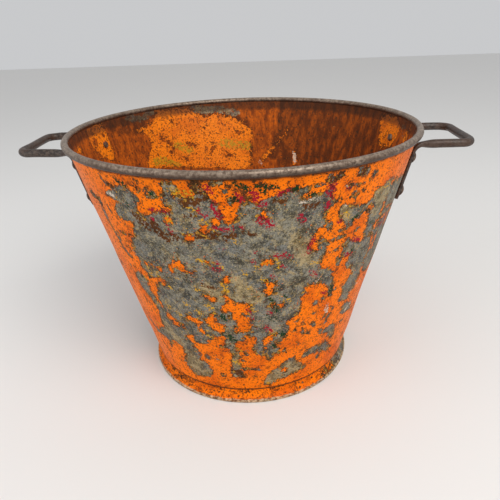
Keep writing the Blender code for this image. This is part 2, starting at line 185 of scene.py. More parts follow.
# Where the outside paint is worn to the metal, as filled outlines of x,y pixels in the photograph
BARE_FIELDS = {
    "main_field": (
        "105,192 112,189.5 120.5,185.5 126.5,186.5 131,190 137,195.5 140,199.5 139,206 140,213 144,215 "
        "151,214 156,212 161,213 170.5,209.5 163.5,206 162.5,199 159.5,194.5 160.5,192.5 163.5,189.5 "
        "159.5,184.5 160.5,180.5 170,182 178,189 172,191.5 172,195 180,196.5 190,196 193,195 192,187 "
        "193,182 196,182 204,192 212,199 216.5,194.5 217.5,205 221.5,213 223.5,218 226.5,223 230,224.5 "
        "235,218 239,213 241,206 245,201 252,203 257,203.5 261,202 264,198.5 272,198 279,197.5 284,194 "
        "292,190.5 300.5,188 309.5,185.5 320,184 326.5,183 334,184 333,196 337,203 330,206.5 329,212 "
        "325.5,218.5 333,221.5 333,228 330,232 326.5,230 324.5,226 316,229.5 315,236 309.5,242.5 309.5,249 "
        "316,252 319,250 317,244.5 316,240 322.5,237 328,242.5 326.5,250 322.5,257.5 321.5,268.5 330,267 "
        "332,272 334,277 335,282 333,288 331,292 330,296 327.5,293.5 328,288 325,285 318,284 312,285 "
        "307,287.5 305.5,290.5 304.5,295 302,298 303,305 302,307.5 299,313 294,316.5 291.5,319.5 288,320.5 "
        "286.5,324.5 290,327 287.5,332 283,338 282.5,341.5 280,344 275.5,344.5 277.5,347 280,351.5 "
        "279,353.5 273,356 270.5,359.5 269,362 265.5,362 267.5,358 265.5,355.5 260.5,355.5 256.5,353.5 "
        "253.5,350.5 254,347 256,342 252.5,336.5 250,338 246,335.5 244.5,336.5 245,340.5 237,344.5 "
        "238.5,349.5 239.5,357 241,363.5 242,369.5 245,373.5 244,377 236,377.5 232.5,376 232,366 232,360.5 "
        "233,355.5 228.5,353 228,349.5 220.5,348.5 220.5,346.5 224.5,344 225,338 223,336 215.5,336 "
        "213.5,338 209,340.5 207,344 203,344.5 199,344 194.5,340.5 193,336 188,336.5 189,339 194.5,344.5 "
        "198,351.5 200.5,353.5 199.5,358.5 203,360.5 207,361 209.5,366 214.5,371 213,375.5 207,377 200,376 "
        "196.5,375 193,372 188,366 184.5,360.5 184.5,353 184,348 179,344 174,342 171.5,346.5 169,340.5 "
        "165,336.5 157.5,331.5 156.5,328 165,327 161.5,321.5 160,315 157.5,308 151.5,299 146.5,292.5 "
        "141,285 136.5,276 136,271 140,272 147,279 149.5,281 150,279 147,275 145,272 140,265 138,257 "
        "135,255 131,244.5 131,236.5 136,236.5 135,231 133,224 131,220.5 122.5,219 117.5,213 115.5,209 "
        "117.5,201.5 114.5,198.5 106.5,195.5"
    ),
    "olive_at_rim": "200,181 222,180 220,184 212,187 206,185",
    "round_and_lobe": (
        "338,211 340.5,208 344.5,204.5 349.5,203.5 354.5,206.5 359.5,205 365,203 367,206 365.5,210 361,214 "
        "358,219 353,222 349,224 345,225.5 341,222 338,217"
    ),
    "right_strip": (
        "365,203 369,200.5 372,198 373.5,193 375.5,189 383,186 387.5,181 391.5,176.5 397,176 404,175 "
        "402,184 398,193 394,205 388,216 381.5,234 375,250 370,262 366,270 362,270 361,267 364,258 369,249 "
        "372,236.5 369,233 365,239 363.5,231.5 365.5,225 367.5,218.5 368.5,214 367.5,211 366,207"
    ),
    "right_band": (
        "369,232 365,239 359.5,241.5 355,239 349.5,240 344.5,242 343,246.5 344,250 341.5,253.5 337,257 "
        "334.5,261 334,265.5 337,268 340.5,264.5 342,258.5 349.5,255.5 344,266 351,267 351.5,272.5 349,276 "
        "346.5,281 342,286.5 340.5,290 342,293 340,297 336,301.5 339.5,303 343.5,300 348,298 348.5,293 "
        "353.5,288 356,281 359.5,274 361,267 364,258 369,249 371,240"
    ),
    "right_tail": "345,302 351,300.5 350.5,308.5 345,312 342,314.5 340.5,313 341.5,307.5",
    "dark_under_rim": "327,178.5 331,175.5 337,175.5 343,173 344.5,176 339,179 335,183 328.5,181.5",
    "dark_at_rim": "358,173.5 361,168 369,166 369,171 366,175 360,175.5",
    "chip_left": "343.5,188.5 347,184.5 352,182.5 353.5,184 349.5,188 346,190.5",
    "chip_right": "368.5,179 370,176 374,172 378,169.5 377.5,172.5 373.5,177.5 370.5,180",
    "chip_low": "332,200.5 336,198 341.5,197 342,199.5 337,202 333,203.5",
    "low_diagonal": (
        "300,358 304,352 310.5,348.5 317.5,345 324.5,340 330,343.5 331,345.5 326.5,350.5 317.5,352.5 "
        "310.5,354 302,359"
    ),
    "mixed_low": (
        "317.5,333.5 323,329.5 330,324.5 336,322.5 334.5,329 333.5,336 329.5,340 326.5,337 328,332.5 "
        "324,333"
    ),
    "olive_low": (
        "286.5,360.5 294,357.5 296.5,360.5 301.5,363.5 309,363.5 306.5,367 298,371 290,374.5 281.5,378.5 "
        "275.5,382 270,384.5 262.5,384.5 265.5,378.5 269,373.5 275.5,368.5 281.5,363.5"
    ),
}

# Streaks and small spots of bare metal: half width in millimetres, then pixels
BARE_STREAKS = {
    "long_left": (2.8, "91,192 100,199.5 105.5,214 113.5,228 123.5,246.5 131,256"),
    "left_end": (1.5, "117.5,255 125.5,267"), "left_low": (1.2, "136,291.5 146.5,311.5"),
    "green_corner": (1.1, "114.5,177 119.5,183.5"), "dark_corner": (1.8, "106.5,182 114,188"),
    "dark_slot": (2.3, "132.5,184.5 138,190"), "slot_a": (1.2, "141,189.5 147,190"),
    "slot_b": (1.7, "150,192.5 156,196"), "slot_c": (1.3, "147,196 150,198.5"),
    "notch": (1.1, "121.5,231.5 136,236"), "tongue_hole": (3.2, "228,203 230,203"),
    "tongue_top": (1.3, "222.5,193.5 229,192"), "tongue_side": (1.5, "229,198 237,200"),
    "band_slot": (1.7, "335,239.5 343,235.5"), "band_slot_low": (1.8, "332,252 338,248.5"),
    "low_hole": (2.0, "247.5,369 261.5,369"), "streak_a": (1.3, "321,319.5 324.5,315"),
    "streak_b": (1.8, "322.5,324.5 329,314.5"), "streak_c": (1.3, "302,321 303,335"),
    "spot_a": (1.6, "148.5,300 149,301"), "spot_b": (2.3, "314,303.5 316,303"),
    "spot_c": (1.5, "313.5,313 314,313.5"), "spot_d": (2.3, "320,330 321,330.5"),
    "spot_e": (2.3, "293.5,330 294.5,331"), "spot_f": (2.3, "307,332 308,334"),
    "spot_g": (2.3, "297.5,342 298.5,344"), "spot_h": (1.5, "297.5,320 298,322"),
    "spot_i": (2.3, "207,356 208,358"), "spot_j": (2.0, "218,359 220,360"),
    "spot_k": (1.8, "206,363 207,364"), "spot_l": (1.8, "221,374 223,376"),
    "spot_m": (2.0, "242,340 244,341"), "spot_n": (2.0, "246,352 247,354"),
    "spot_o": (2.0, "242,360 244,361"), "spot_p": (1.7, "254,375 256,377"),
    "spot_q": (1.6, "340,321 342,320"), "spot_r": (1.2, "354,197.5 355,198"),
    "spot_s": (1.2, "365,182 366,182.5"), "spot_t": (1.3, "317,355.5 318,357"),
    "spot_u": (1.4, "355,231 357,228"), "left_cut_a": (1.3, "100,176 106,184"),
    "left_cut_b": (1.0, "108,205 112,213"), "left_cut_c": (1.2, "118,232 121,238"),
    "left_cut_d": (1.2, "129,262 134,270"), "left_cut_e": (1.3, "140,310 146,318"),
    "left_cut_f": (1.4, "150,318 155,326"), "left_cut_g": (1.2, "142,331 147,338"),
    "left_cut_h": (1.0, "128,285 131,291"), "left_cut_i": (1.2, "124,205 129,208"),
    "left_cut_j": (1.0, "121,222 127,226"), "mid_cut_a": (1.2, "170,352 173,358"),
    "mid_cut_b": (1.1, "284,350 287,352"), "mid_cut_c": (1.1, "312,322 314,325"),
    "mid_cut_d": (1.2, "331,306 333,309"), "mid_cut_e": (1.1, "318,350 320,352"),
    "right_cut_a": (1.1, "357,186 361,183"), "right_cut_b": (1.2, "351,196 356,191"),
    "right_cut_c": (1.0, "340,231 344,228"), "right_cut_d": (1.2, "347,228 352,224"),
    "right_cut_e": (1.0, "360,192 365,188"), "right_cut_f": (1.2, "334,290 337,287"),
    "right_cut_g": (1.2, "322,300 325,297"),
}

# Paint left standing inside the worn fields
PAINT_ISLANDS = {
    "upper_strip": (
        "149,279 155,278 163,279 164,282.5 161.5,281 156.5,282.5 156.5,286.5 158,297.5 164,306.5 164,309 "
        "160.5,305.5 155,295.5 150,288 150,285.5"
    ),
    "low_streak": "165.5,311.5 170.5,314 175,319 178,322 178,325.5 175,323 170.5,319 166.5,315",
    "sliver": "204,295.5 209,296.5 214.5,300 215.5,302.5 210.5,301.5 204.5,298.5",
    "left_blob": (
        "187,317.5 188,315 191.5,315.5 193,318 196.5,319 200.5,319 201.5,321.5 199,323.5 195.5,322 "
        "191.5,321 188,319.5"
    ),
    "middle_blob": (
        "207,319.5 209,315.5 211.5,313.5 214.5,314 216,319 216,322 214.5,324 219.5,324 223.5,326.5 "
        "225,329.5 223,334.5 218,331.5 213,330.5 212,328 209.5,323"
    ),
    "long_island": (
        "221,295 225.5,294 228.5,297.5 233,300.5 234.5,305 239.5,303 246,303.5 248.5,305.5 248.5,310 "
        "247,313 241,312.5 240.5,315.5 244.5,319 248.5,319.5 252,324 254.5,324.5 252.5,326.5 249.5,328 "
        "248.5,332 245,333 243.5,330.5 240.5,330.5 238,333 234.5,330.5 234.5,328 238,326.5 237,323 "
        "233.5,319.5 232,316.5 233,312.5 229.5,310.5 225.5,311 221.5,310 222,306.5 226,304 228,302.5 "
        "227,299 223.5,296.5"
    ),
    "finger_blob": (
        "277.5,333.5 273,336.5 271.5,339 270,343 266.5,345.5 269,347 267.5,349 264,348.5 263,346.5 "
        "263.5,340.5 267.5,337 271.5,334.5"
    ),
    "square_spot": "265.5,282 274,282 275,286.5 272.5,290 270.5,294 267.5,294.5 263,292.5 265.5,289",
    "strip_blob": "367.5,206 371,205 373.5,207 371,209",
    "band_finger": "342,258.5 349.5,255.5 346,260 343,266 341.5,263",
}
PAINT_STREAKS = {
    "rim_finger": (2.8, "307,195 317,190 329,186"),
    "arch": (1.6, "171,271 169.5,266 173,263.5 179,262.5 183,267 181,269"),
    "arch_tail": (0.9, "188,272 194,273"), "thin_a": (1.2, "147,264 154,266 161,270"),
    "diagonal": (1.9, "198,180 204,187 212,199"), "drop_a": (2.8, "168,219.5 168,221"),
    "drop_b": (3.6, "264,212.5 264,216"), "drop_c": (3.0, "266.5,262.5 270,262"),
    "drop_d": (1.9, "207,262 208,263"), "drop_e": (3.2, "203,229.5 205,228.5"),
    "drop_f": (2.3, "215,222.5 216,223"), "drop_g": (2.4, "188.5,237 189.5,238"),
    "drop_h": (1.9, "226,279.5 226,281"), "drop_i": (1.6, "183,325 183.5,326"),
    "drop_j": (1.3, "272.5,305.5 273,306"), "drop_k": (1.3, "281.5,304.5 282,305"),
    "drop_l": (2.3, "163,283.5 164,284.5"), "bit_a": (1.6, "267,195 279,197"),
    "bit_b": (2.1, "257,193 256.5,201"), "bit_c": (1.3, "199,325 204,333"),
    "strip_a": (1.1, "380,213 383,206 384.5,201.5"), "strip_b": (1.1, "385,207.5 391,204"),
    "strip_c": (1.1, "376,221 381,217 385.5,213"), "strip_d": (1.0, "374,226 380,224"),
    "strip_e": (1.2, "392,182 397,178"), "strip_f": (1.3, "384,222 388,212 391,207"),
    "edge_orange": (1.5, "377,232 374,240 371,248"), "low_spot": (2.0, "284,369.5 285.5,370.5"),
}

# Hints of the older coats and of stains: half width in millimetres, then pixels
CRIMSON, YELLOW, GREEN, RUST = range(4)
OUTSIDE_HINTS = {
    CRIMSON: {
        "tongue": (3.0, "214,205 217,212 220,217"), "pair": (3.6, "260,220 266,222 270,226"),
        "right_line": (2.4, "331,184 329,190 332,195 331,200 327,207"), "rim_end": (2.2, "335,184 334,188"),
        "dot": (2.6, "299,216 305,221"), "hook": (2.4, "313,239 310,244 308,252"),
        "middle_a": (2.2, "277,255 282,256"), "middle_b": (2.2, "286,253 291,257"),
        "edge": (2.2, "311,271 315,275"), "left_a": (1.6, "151,210 158,211"),
        "left_b": (1.8, "161,211 168,212"), "left_c": (1.6, "152,218 154,220"),
        "left_d": (1.5, "168,225 169,227"), "left_e": (1.5, "171,231 172,233"),
        "top_specks": (2.4, "199,211 206,215"), "under_tongue": (2.2, "213,227 222,230 232,229"),
        "island_a": (1.6, "248,310 249,312"), "island_b": (1.6, "252,316 254,318"),
        "low": (3.0, "266,327 270,330"), "low_b": (1.8, "268,312 271,314"),
        "field_a": (1.6, "222,249 223.5,249.5"), "field_b": (1.6, "252.5,261 253.5,262"),
        "field_c": (1.4, "254,252 255,252.5"), "field_d": (1.6, "217,262 218,263"),
        "field_e": (1.7, "218.5,268 220,270"), "field_f": (1.4, "212.5,269 213.5,270"),
        "field_g": (1.5, "283,266 284,266.5"), "field_h": (1.4, "272,276 273,277"),
        "field_i": (1.6, "242,227 243,228"), "tongue_side": (2.6, "236,195 242,200"),
        "rim_row": (1.8, "278,194 286,192 291,189"), "rim_a": (2.8, "252,192 255,196 256,202"),
        "rim_b": (2.4, "258,204 264,204"), "rim_c": (2.2, "206,188 210,191"),
        "chip": (1.4, "347,189 349,188"), "round": (1.2, "338,223 341,221"),
        "band": (2.2, "353,239 358,240"), "band_b": (1.8, "346,254 351,254"),
        "lobe": (1.6, "322,293 326,292"), "strip": (2.0, "380,224 383,220 386,214"),
    },
    YELLOW: {
        "rim": (3.4, "172,191 181,193 191,195"), "band": (2.4, "189,210 197,211"),
        "square": (1.8, "263,279 266,281"), "low": (1.8, "271,331 274,334"),
        "drip": (2.6, "234,361 239,363"), "island": (1.8, "252,308 255,310"),
        "field": (2.4, "199,260 203,262"), "field_b": (1.6, "220,265 223,269"),
        "field_c": (1.6, "277,261 278,267"), "field_d": (1.8, "224,286 227,292"),
        "islands": (2.4, "184,300 188,305"), "islands_b": (2.4, "206,306 212,309"),
        "islands_c": (2.0, "197,311 202,314"), "left": (2.2, "166,303 170,308"),
        "left_b": (2.2, "148,268 150,273"), "left_c": (2.0, "176,312 181,315"),
        "drop": (2.6, "168,218 169,222"), "spot": (1.6, "264,263 267,262"),
        "round": (2.4, "345,213 349,217"), "strip_top": (2.4, "380,189 390,183"),
        "lobe": (1.6, "312,263 318,262"), "fleck_a": (1.6, "145,277 147,280"),
        "fleck_b": (1.5, "169,286 172,288"), "fleck_c": (1.5, "156,272 158,276"),
        "fleck_d": (1.6, "243,272 246,274"), "fleck_e": (1.6, "247,288 250,289"),
        "fleck_f": (1.4, "256,265 258,267"), "fleck_g": (1.6, "232,241 236,243"),
        "fleck_h": (1.6, "212,229 215,231"), "fleck_i": (1.5, "189,232 191,235"),
        "fleck_j": (1.6, "202,221 206,223"), "fleck_k": (1.6, "207,335 212,337"),
        "fleck_l": (1.5, "155,321 159,324"), "fleck_m": (1.5, "195,288 198,290"),
        "fleck_n": (1.4, "176,277 179,279"), "fleck_o": (1.5, "237,349 241,351"),
        "fleck_p": (1.4, "292,262 296,264"), "fleck_q": (1.5, "286,298 290,300"),
    },
    GREEN: {
        "gap_a": (2.0, "222,315 225,319"), "gap_b": (2.2, "224,334 230,336"),
        "gap_c": (2.2, "231,338 235,341"), "low_a": (2.4, "267,316 273,319"),
        "low_b": (1.8, "273,303 276,306"), "low_c": (1.6, "276,310 278,312"),
        "low_d": (1.6, "270,299 273,300"), "low_e": (1.6, "284,296 287,298"),
        "blob": (2.6, "280,332 285,336"), "finger": (1.8, "273,345 276,347"),
        "lobe": (2.0, "331,286 331,291 329,295"), "rim_finger": (2.0, "309,196 315,194"),
        "rim": (2.0, "291,189 298,188"), "corner": (1.4, "114,177 119,183"),
        "corner_b": (1.5, "122,183 126,186"), "corner_c": (1.4, "134,180 137,182"),
        "corner_d": (1.4, "127,203 129,206"), "edge_a": (1.3, "116,214 118,218"),
        "edge_b": (1.3, "129,246 131,250"), "edge_c": (1.3, "145,296 147,300"),
        "slot": (1.8, "150,193 156,196"), "tongue": (1.8, "229,198 236,200"),
        "rim_row": (1.6, "264,184 266,187"), "rim_a": (1.7, "274,186 278,188"),
        "rim_b": (1.6, "244,186 246,188"), "rim_c": (1.4, "262,191 265,192"),
        "rim_e": (1.4, "249,189 250,190"), "rim_f": (1.3, "256,186 258,187"),
        "rim_d": (1.8, "233,183 238,185"), "tongue_low": (1.8, "233,196 236,201"),
        "lobe_dark": (2.0, "353,219 359,213"), "band": (1.6, "351,251 353,248"),
        "strip": (1.6, "370,222 373,225"),
    },
    RUST: {
        "left_block": (4.0, "136,215 142,222 147,226"),
        "left_shape": (4.2, "154,223 160,232 168,238 174,236"),
        "middle_band": (3.6, "198,236 212,235 225,238 233,235"),
        "upper_patch": (4.2, "183,203 190,202 197,201"), "short": (2.6, "187,216 194,216"),
        "dark_top": (5.0, "193,184 197,190 202,195"), "dash": (1.8, "271,202 282,201"),
        "dash_b": (2.2, "305,206 318,205"), "line": (1.2, "244,232 256,235"),
        "ring": (1.5, "201,284 203,286"), "line_b": (1.0, "207,287 216,289"),
        "drip": (3.4, "234,370 239,373 244,376"), "corner": (2.0, "107,183 113,187"),
        "slot": (2.2, "133,185 138,190"), "streak": (2.4, "92,193 99,199 103,206"),
        "notch": (1.0, "123,232 135,236"), "hole_right": (3.4, "330,179 337,178 342,175"),
        "hole_rim": (3.2, "361,173 366,169"), "chip": (1.6, "350,184 352,184"),
        "right_dark": (1.6, "366,210 370,212"), "rim_row": (3.0, "244,193 248,199"),
        "rim_row_b": (2.0, "272,201 283,201"), "rim_row_c": (1.4, "252,182 263,183"),
        "rim_row_d": (1.8, "226,187 233,189"), "rim_row_e": (2.4, "286,190 297,188"),
        "rim_row_f": (1.6, "262,186 272,188"),
    },
}

# Olive stains on the bare metal: half width in millimetres, pixels
OUTSIDE_STAINS = {
    "low_left": (9.0, "184,352 192,362 203,371 209,375"), "low_right": (9.0, "268,382 284,372 304,363"),
    "rim": (5.0, "203,183 219,182"), "left": (5.0, "160,318 170,332 180,342"),
    "drip": (4.0, "236,352 237,366"), "middle": (7.0, "236,282 244,290 252,296"),
    "middle_left": (7.0, "212,292 222,296"), "right": (6.0, "296,238 303,244 306,256"),
    "round": (4.0, "344,209 348,217"), "strip": (6.0, "376,190 382,197 376,208"),
    "top_left": (5.0, "140,196 150,205"),
}

# Pale chips of primer: half width in millimetres, pixels
OUTSIDE_CHALK = {
    "tail": (1.8, "351,301.5 347,307 344,312"), "spot": (2.4, "326,308 326.5,311"),
    "spot_top": (1.2, "327,303 327.5,304"), "band": (1.6, "301,203 309,200 317,199"),
    "edge": (1.6, "315,283 318,279"), "left": (2.4, "108,193 113,195"), "line": (1.0, "354,286 360,279"),
    "chip": (1.2, "345,187 348,186"), "round": (1.2, "343,206 347,205"),
}

# Inside of the bucket, seen over the near rim: where the bright paint is still whole
INSIDE_PAINT = {
    "back_patch": (
        "154,117 156,113 160,110.5 170,109.5 180,109 188,108.5 192,109.5 195,114 199,116 206,117 213,114.5 "
        "222,114.5 231,117.5 238,120.5 243,124 248,128 251,131 252,137 250,143 251,150 252,157 250,166 "
        "240,170 150,168 147,158 152,150 150,141 149,135 142,132 137,130.5 146,126.5 153,123"
    ),
    "left_strip": "86,128 95,124 102,125 104,131 108,138 110,146 114,154 113,160 103,158 96,152 90,143",
    "right_strip": "381,116 390,115 398,118 400,127 397,138 390,146 381,151 379,142 380,130",
}
INSIDE_STREAKS = {
    "scratch": (1.1, "262,160 272,149 280,139 288,130"), "chip": (1.8, "294,153 295,163"),
}
INSIDE_HOLES = {
    "oval": (2.4, "95,140 96,144"), "tail_spot": (1.8, "101,133 103,135"),
    "grey_streak": (2.0, "84,133 87,143 90,152"), "right_spot": (2.0, "382,145 384,147"),
    "patch_slot": (2.2, "169,142 174,148 172,153"), "patch_slot_b": (1.5, "188,143 197,146"),
    "patch_slot_c": (1.6, "213,148 211,155"), "hole_a": (1.6, "162,137 164,140"),
    "hole_b": (2.0, "204,128 209,130"), "hole_c": (2.2, "226,152 231,157"),
    "hole_d": (1.8, "183,158 188,160"), "hole_e": (1.6, "170,121 174,124"),
    "hole_f": (1.6, "236,131 240,134"), "left_a": (3.4, "127,129 133,133 139,131"),
    "left_b": (2.6, "122,141 127,147"), "left_c": (2.4, "133,150 137,156"),
    "left_d": (2.0, "118,128 121,131"),
}
INSIDE_HINTS = {
    YELLOW: {
        "patch_a": (5.0, "175,144 184,148 190,150"), "patch_b": (6.0, "223,143 236,144 249,146"),
        "patch_c": (5.0, "155,162 166,161 178,165"),
    },
    GREEN: {
        "under_rim": (5.0, "193,108 205,110 222,109 236,113"), "left_rim": (4.0, "128,118 140,118 152,112"),
        "patch_low": (4.0, "222,163 234,164"), "far_right": (6.0, "405,124 411,130 415,138"),
    },
    # Inside, these marks darken the worn paint: small rust spots at the rivet tails and elsewhere, and
    # painted shade under the rim and across the wide patches at the sides
    RUST: {
        "spots": (3.0, "295,133 297,133"), "spots_b": (3.0, "305,136 307,136"),
        "tail": (4.0, "105,140 106,142"), "tail_right": (4.0, "393,133 394,135"),
        "under_rim": (3.0, "186,111 206,112 232,117 246,122"),
        "right_side": (26.0, "310,125 340,128 370,132"), "right_side_b": (18.0, "290,160 330,155 366,148"),
        "left_a": (9.0, "114,126 130,127 144,124"),
    },
}
INSIDE_CHALK = {
    "chip": (2.0, "294,153 294.5,162"), "speck": (1.4, "259,162 262,162"),
}

# Where the foot has lost its orange: azimuths in degrees
FOOT_BARE_FROM = -44.0
FOOT_BARE_TO = 40.0
FOOT_MM_PER_DEGREE = 2.0

# Lights of the stage, in metres and linear colours
LIGHT_TARGET = (0.0, 0.0, 0.15)
KEY_PLACE, KEY_SIZE, KEY_COLOUR = (0.75, -1.15, 1.6), 1.2, (1.0, 0.98, 0.95)
FILL_PLACE, FILL_SIZE, FILL_COLOUR = (-1.5, -0.9, 0.9), 1.4, (0.93, 0.96, 1.0)
SKY_COLOUR = (0.97, 0.98, 1.0, 1.0)


def srgb(red, green, blue):
    """Linear colour of a screen colour given from 0 to 255."""
    linear = []
    for part in (red, green, blue):
        share = part / 255.0
        linear.append(share / 12.92 if share <= 0.04045 else ((share + 0.055) / 1.055) ** 2.4)
    return tuple(linear)


# Tones

# Zinc and its stains
ZINC_DARK = srgb(46, 42, 34)
ZINC_LIGHT = srgb(176, 172, 156)
ZINC_COOL_DARK = srgb(60, 62, 62)
ZINC_COOL_LIGHT = srgb(118, 120, 120)
ZINC_GRAIN = srgb(48, 46, 40)
STAIN_DARK = srgb(106, 88, 54)
STAIN_LIGHT = srgb(190, 166, 118)
ZINC_SPECK = srgb(50, 42, 32)
ZINC_PALE = srgb(186, 170, 130)
FOOT_METAL = srgb(140, 104, 66)

# Top coat
FILM_DEEP = srgb(176, 72, 0)
FILM_BRIGHT = srgb(255, 142, 0)
FILM_WORN = srgb(170, 76, 6)
# Tones of the painted sheen on the sides that turn away from the camera
SHEEN_DEEP = srgb(196, 96, 52)
SHEEN_BRIGHT = srgb(226, 150, 112)
GRIME = srgb(84, 42, 14)
PIT = srgb(48, 32, 14)

# Older coats, primer, dirt and painted shade
OLD_COAT_DARK = srgb(84, 60, 34)
OLD_COAT_LIGHT = srgb(170, 122, 52)
CHIP_BROWN = srgb(62, 44, 26)
PRIMER = srgb(214, 196, 176)
EDGE_SHADOW = srgb(50, 32, 16)
# Dirt mixed with painted shade, for the bands in the crease over the foot and under the rim
SOIL_AND_SHADE_DARK = srgb(34, 24, 14)
SOIL_AND_SHADE_LIGHT = srgb(84, 56, 28)
RUB_DARK = srgb(104, 72, 46)
RUB_LIGHT = srgb(206, 178, 142)

# Inside of the bucket
# The inside paint is brighter than the outside top coat: partly the fresher paint inside, and partly painted
# light that makes up for the shade inside
INSIDE_ORANGE = srgb(255, 132, 12)
RUN_DARK = srgb(122, 54, 10)
RUN_LIGHT = srgb(204, 98, 12)
INSIDE_SHADE = srgb(84, 40, 12)
INSIDE_SPECK = srgb(50, 28, 14)
INSIDE_EDGE = srgb(58, 38, 20)
INSIDE_YELLOW = srgb(190, 140, 26)
INSIDE_HOLE = srgb(46, 36, 22)
INSIDE_PRIMER = srgb(222, 200, 176)
# Dirt and painted shade on the inside wall under the rim
INSIDE_GRIME_AND_SHADE = srgb(52, 32, 18)

# Rust and steel
RUST_DARK = srgb(34, 24, 16)
RUST_FRESH = srgb(172, 92, 34)
STEEL_DEEP = srgb(46, 36, 32)
STEEL_DARK = srgb(40, 30, 24)
STEEL_PALE = srgb(186, 166, 146)
STEEL_BROWN = srgb(74, 50, 36)
# Paler crest of the rim, as wear and a painted highlight, and painted shade on the roll's underside
CREST_DARK = srgb(112, 92, 76)
CREST_LIGHT = srgb(190, 172, 152)
STEEL_UNDERSIDE_SHADE = srgb(46, 32, 22)


# Settings

LENGTH = {"subtype": "DISTANCE", "unit": "LENGTH"}
TINT = {"size": 3, "min": 0.0, "max": 1.0, "subtype": "COLOR"}


class BucketSheetSettings(bpy.types.PropertyGroup):
    """Facets and dents of the turned sheet pieces."""

    front_columns: IntProperty(
        name="Front Columns", description="Faces across the traced front", default=250, min=24
    )
    back_columns: IntProperty(
        name="Back Columns", description="Faces round the rest", default=200, min=24
    )
    outer_row: FloatProperty(
        name="Outer Row", description="Length of one face up the outside",
        default=2.4 * MM, min=0.0005, **LENGTH,
    )
    inner_row: FloatProperty(
        name="Inner Row", description="Length of one face up the inside",
        default=4.0 * MM, min=0.0005, **LENGTH,
    )
    dent_depth: FloatProperty(
        name="Dent Depth", description="How far the wall wanders in and out",
        default=0.9 * MM, min=0.0, **LENGTH,
    )
    dent_size: FloatProperty(
        name="Dent Size", description="Width of a broad dent", default=85.0 * MM, min=0.001, **LENGTH
    )


class BucketHandleSettings(bpy.types.PropertyGroup):
    """Sizes of the forged handles and their rivets."""

    rod_diameter: FloatProperty(
        name="Rod Diameter", description="Thickness of the round rod", default=8.7 * MM, **LENGTH
    )
    strap_width: FloatProperty(
        name="Strap Width", description="Width of the flattened ends", default=17.0 * MM, **LENGTH
    )
    strap_thickness: FloatProperty(
        name="Strap Thickness", description="Thickness of the flattened ends", default=3.5 * MM, **LENGTH
    )
    strap_length: FloatProperty(
        name="Strap Length", description="Length of the flattened ends below the rod",
        default=STRAP_LENGTH, **LENGTH,
    )
    head_diameter: FloatProperty(
        name="Rivet Head", description="Diameter of a rivet's domed head", default=11.5 * MM, **LENGTH
    )
    head_height: FloatProperty(
        name="Rivet Head Height", description="Height of a rivet's domed head", default=2.5 * MM, **LENGTH
    )
    tail_diameter: FloatProperty(
        name="Rivet Tail", description="Diameter of the closed tail inside the bucket",
        default=8.4 * MM, **LENGTH,
    )
    tail_height: FloatProperty(
        name="Rivet Tail Height", description="Height of the closed tail", default=1.6 * MM, **LENGTH
    )


class BucketColourSettings(bpy.types.PropertyGroup):
    """Colours of the coats, the metal and the rust."""

    orange: FloatVectorProperty(
        name="Orange Paint", description="Top coat", default=srgb(250, 112, 0), **TINT
    )
    crimson: FloatVectorProperty(
        name="Crimson Coat", description="Older red coat", default=srgb(160, 24, 44), **TINT
    )
    yellow: FloatVectorProperty(
        name="Yellow Coat", description="Older yellow coat", default=srgb(212, 160, 38), **TINT
    )
    green: FloatVectorProperty(
        name="Green Coat", description="Oldest dark green coat", default=srgb(22, 54, 26), **TINT
    )
    metal: FloatVectorProperty(
        name="Bare Metal", description="Weathered zinc on the sheet", default=srgb(104, 98, 84), **TINT
    )
    rust: FloatVectorProperty(
        name="Rust", description="Brown rust", default=srgb(92, 54, 26), **TINT
    )
    steel: FloatVectorProperty(
        name="Handled Steel", description="Dark steel of the handles and rim",
        default=srgb(104, 84, 70), **TINT,
    )


class BucketStageSettings(bpy.types.PropertyGroup):
    """Floor and light of the stage."""

    floor_size: FloatProperty(
        name="Floor Size", description="Width of the floor", default=9.0, **LENGTH
    )
    floor_colour: FloatVectorProperty(
        name="Floor Colour", description="Pale floor", default=(0.80, 0.79, 0.77), **TINT
    )
    key_power: FloatProperty(
        name="Key Light", description="Power of the main soft light", default=25.5, unit="POWER"
    )
    fill_power: FloatProperty(
        name="Fill Light", description="Power of the filling light", default=9.0, unit="POWER"
    )
    sky: FloatProperty(
        name="Sky", description="Strength of the even light from all round", default=0.60, min=0.0
    )


# Shapes


def wall_inner(height):
    """Radius of the wall's inner face at a height."""
    return BASE_INNER_RADIUS + (height - LIP_HEIGHT) * WALL_SLOPE


def wall_normal(azimuth):
    """Outward normal of the wall at an azimuth in radians."""
    level = math.cos(WALL_LEAN)
    return Vector((level * math.cos(azimuth), level * math.sin(azimuth), -math.sin(WALL_LEAN)))


def wall_up(azimuth):
    """Direction up the wall at an azimuth in radians."""
    level = math.sin(WALL_LEAN)
    return Vector((level * math.cos(azimuth), level * math.sin(azimuth), math.cos(WALL_LEAN)))


def wall_point(azimuth, height, proud=0.0):
    """Point on the wall's outer face, moved outward along its normal."""
    radius = wall_inner(height) + WALL_PROUD
    spot = Vector((radius * math.cos(azimuth), radius * math.sin(azimuth), height))
    return spot + wall_normal(azimuth) * proud


def arc(centre, radius, start, stop, steps):
    """Points of an arc in the profile plane, from start to stop in degrees."""
    points = []
    for step in range(steps + 1):
        angle = math.radians(start + (stop - start) * step / steps)
        points.append((centre[0] + radius * math.cos(angle), centre[1] + radius * math.sin(angle)))
    return points


def straight(start, stop, length):
    """Points along a straight stretch, about one length apart, with both ends."""
    steps = max(1, round(math.dist(start, stop) / length))
    return [tuple(a + (b - a) * step / steps for a, b in zip(start, stop)) for step in range(steps + 1)]


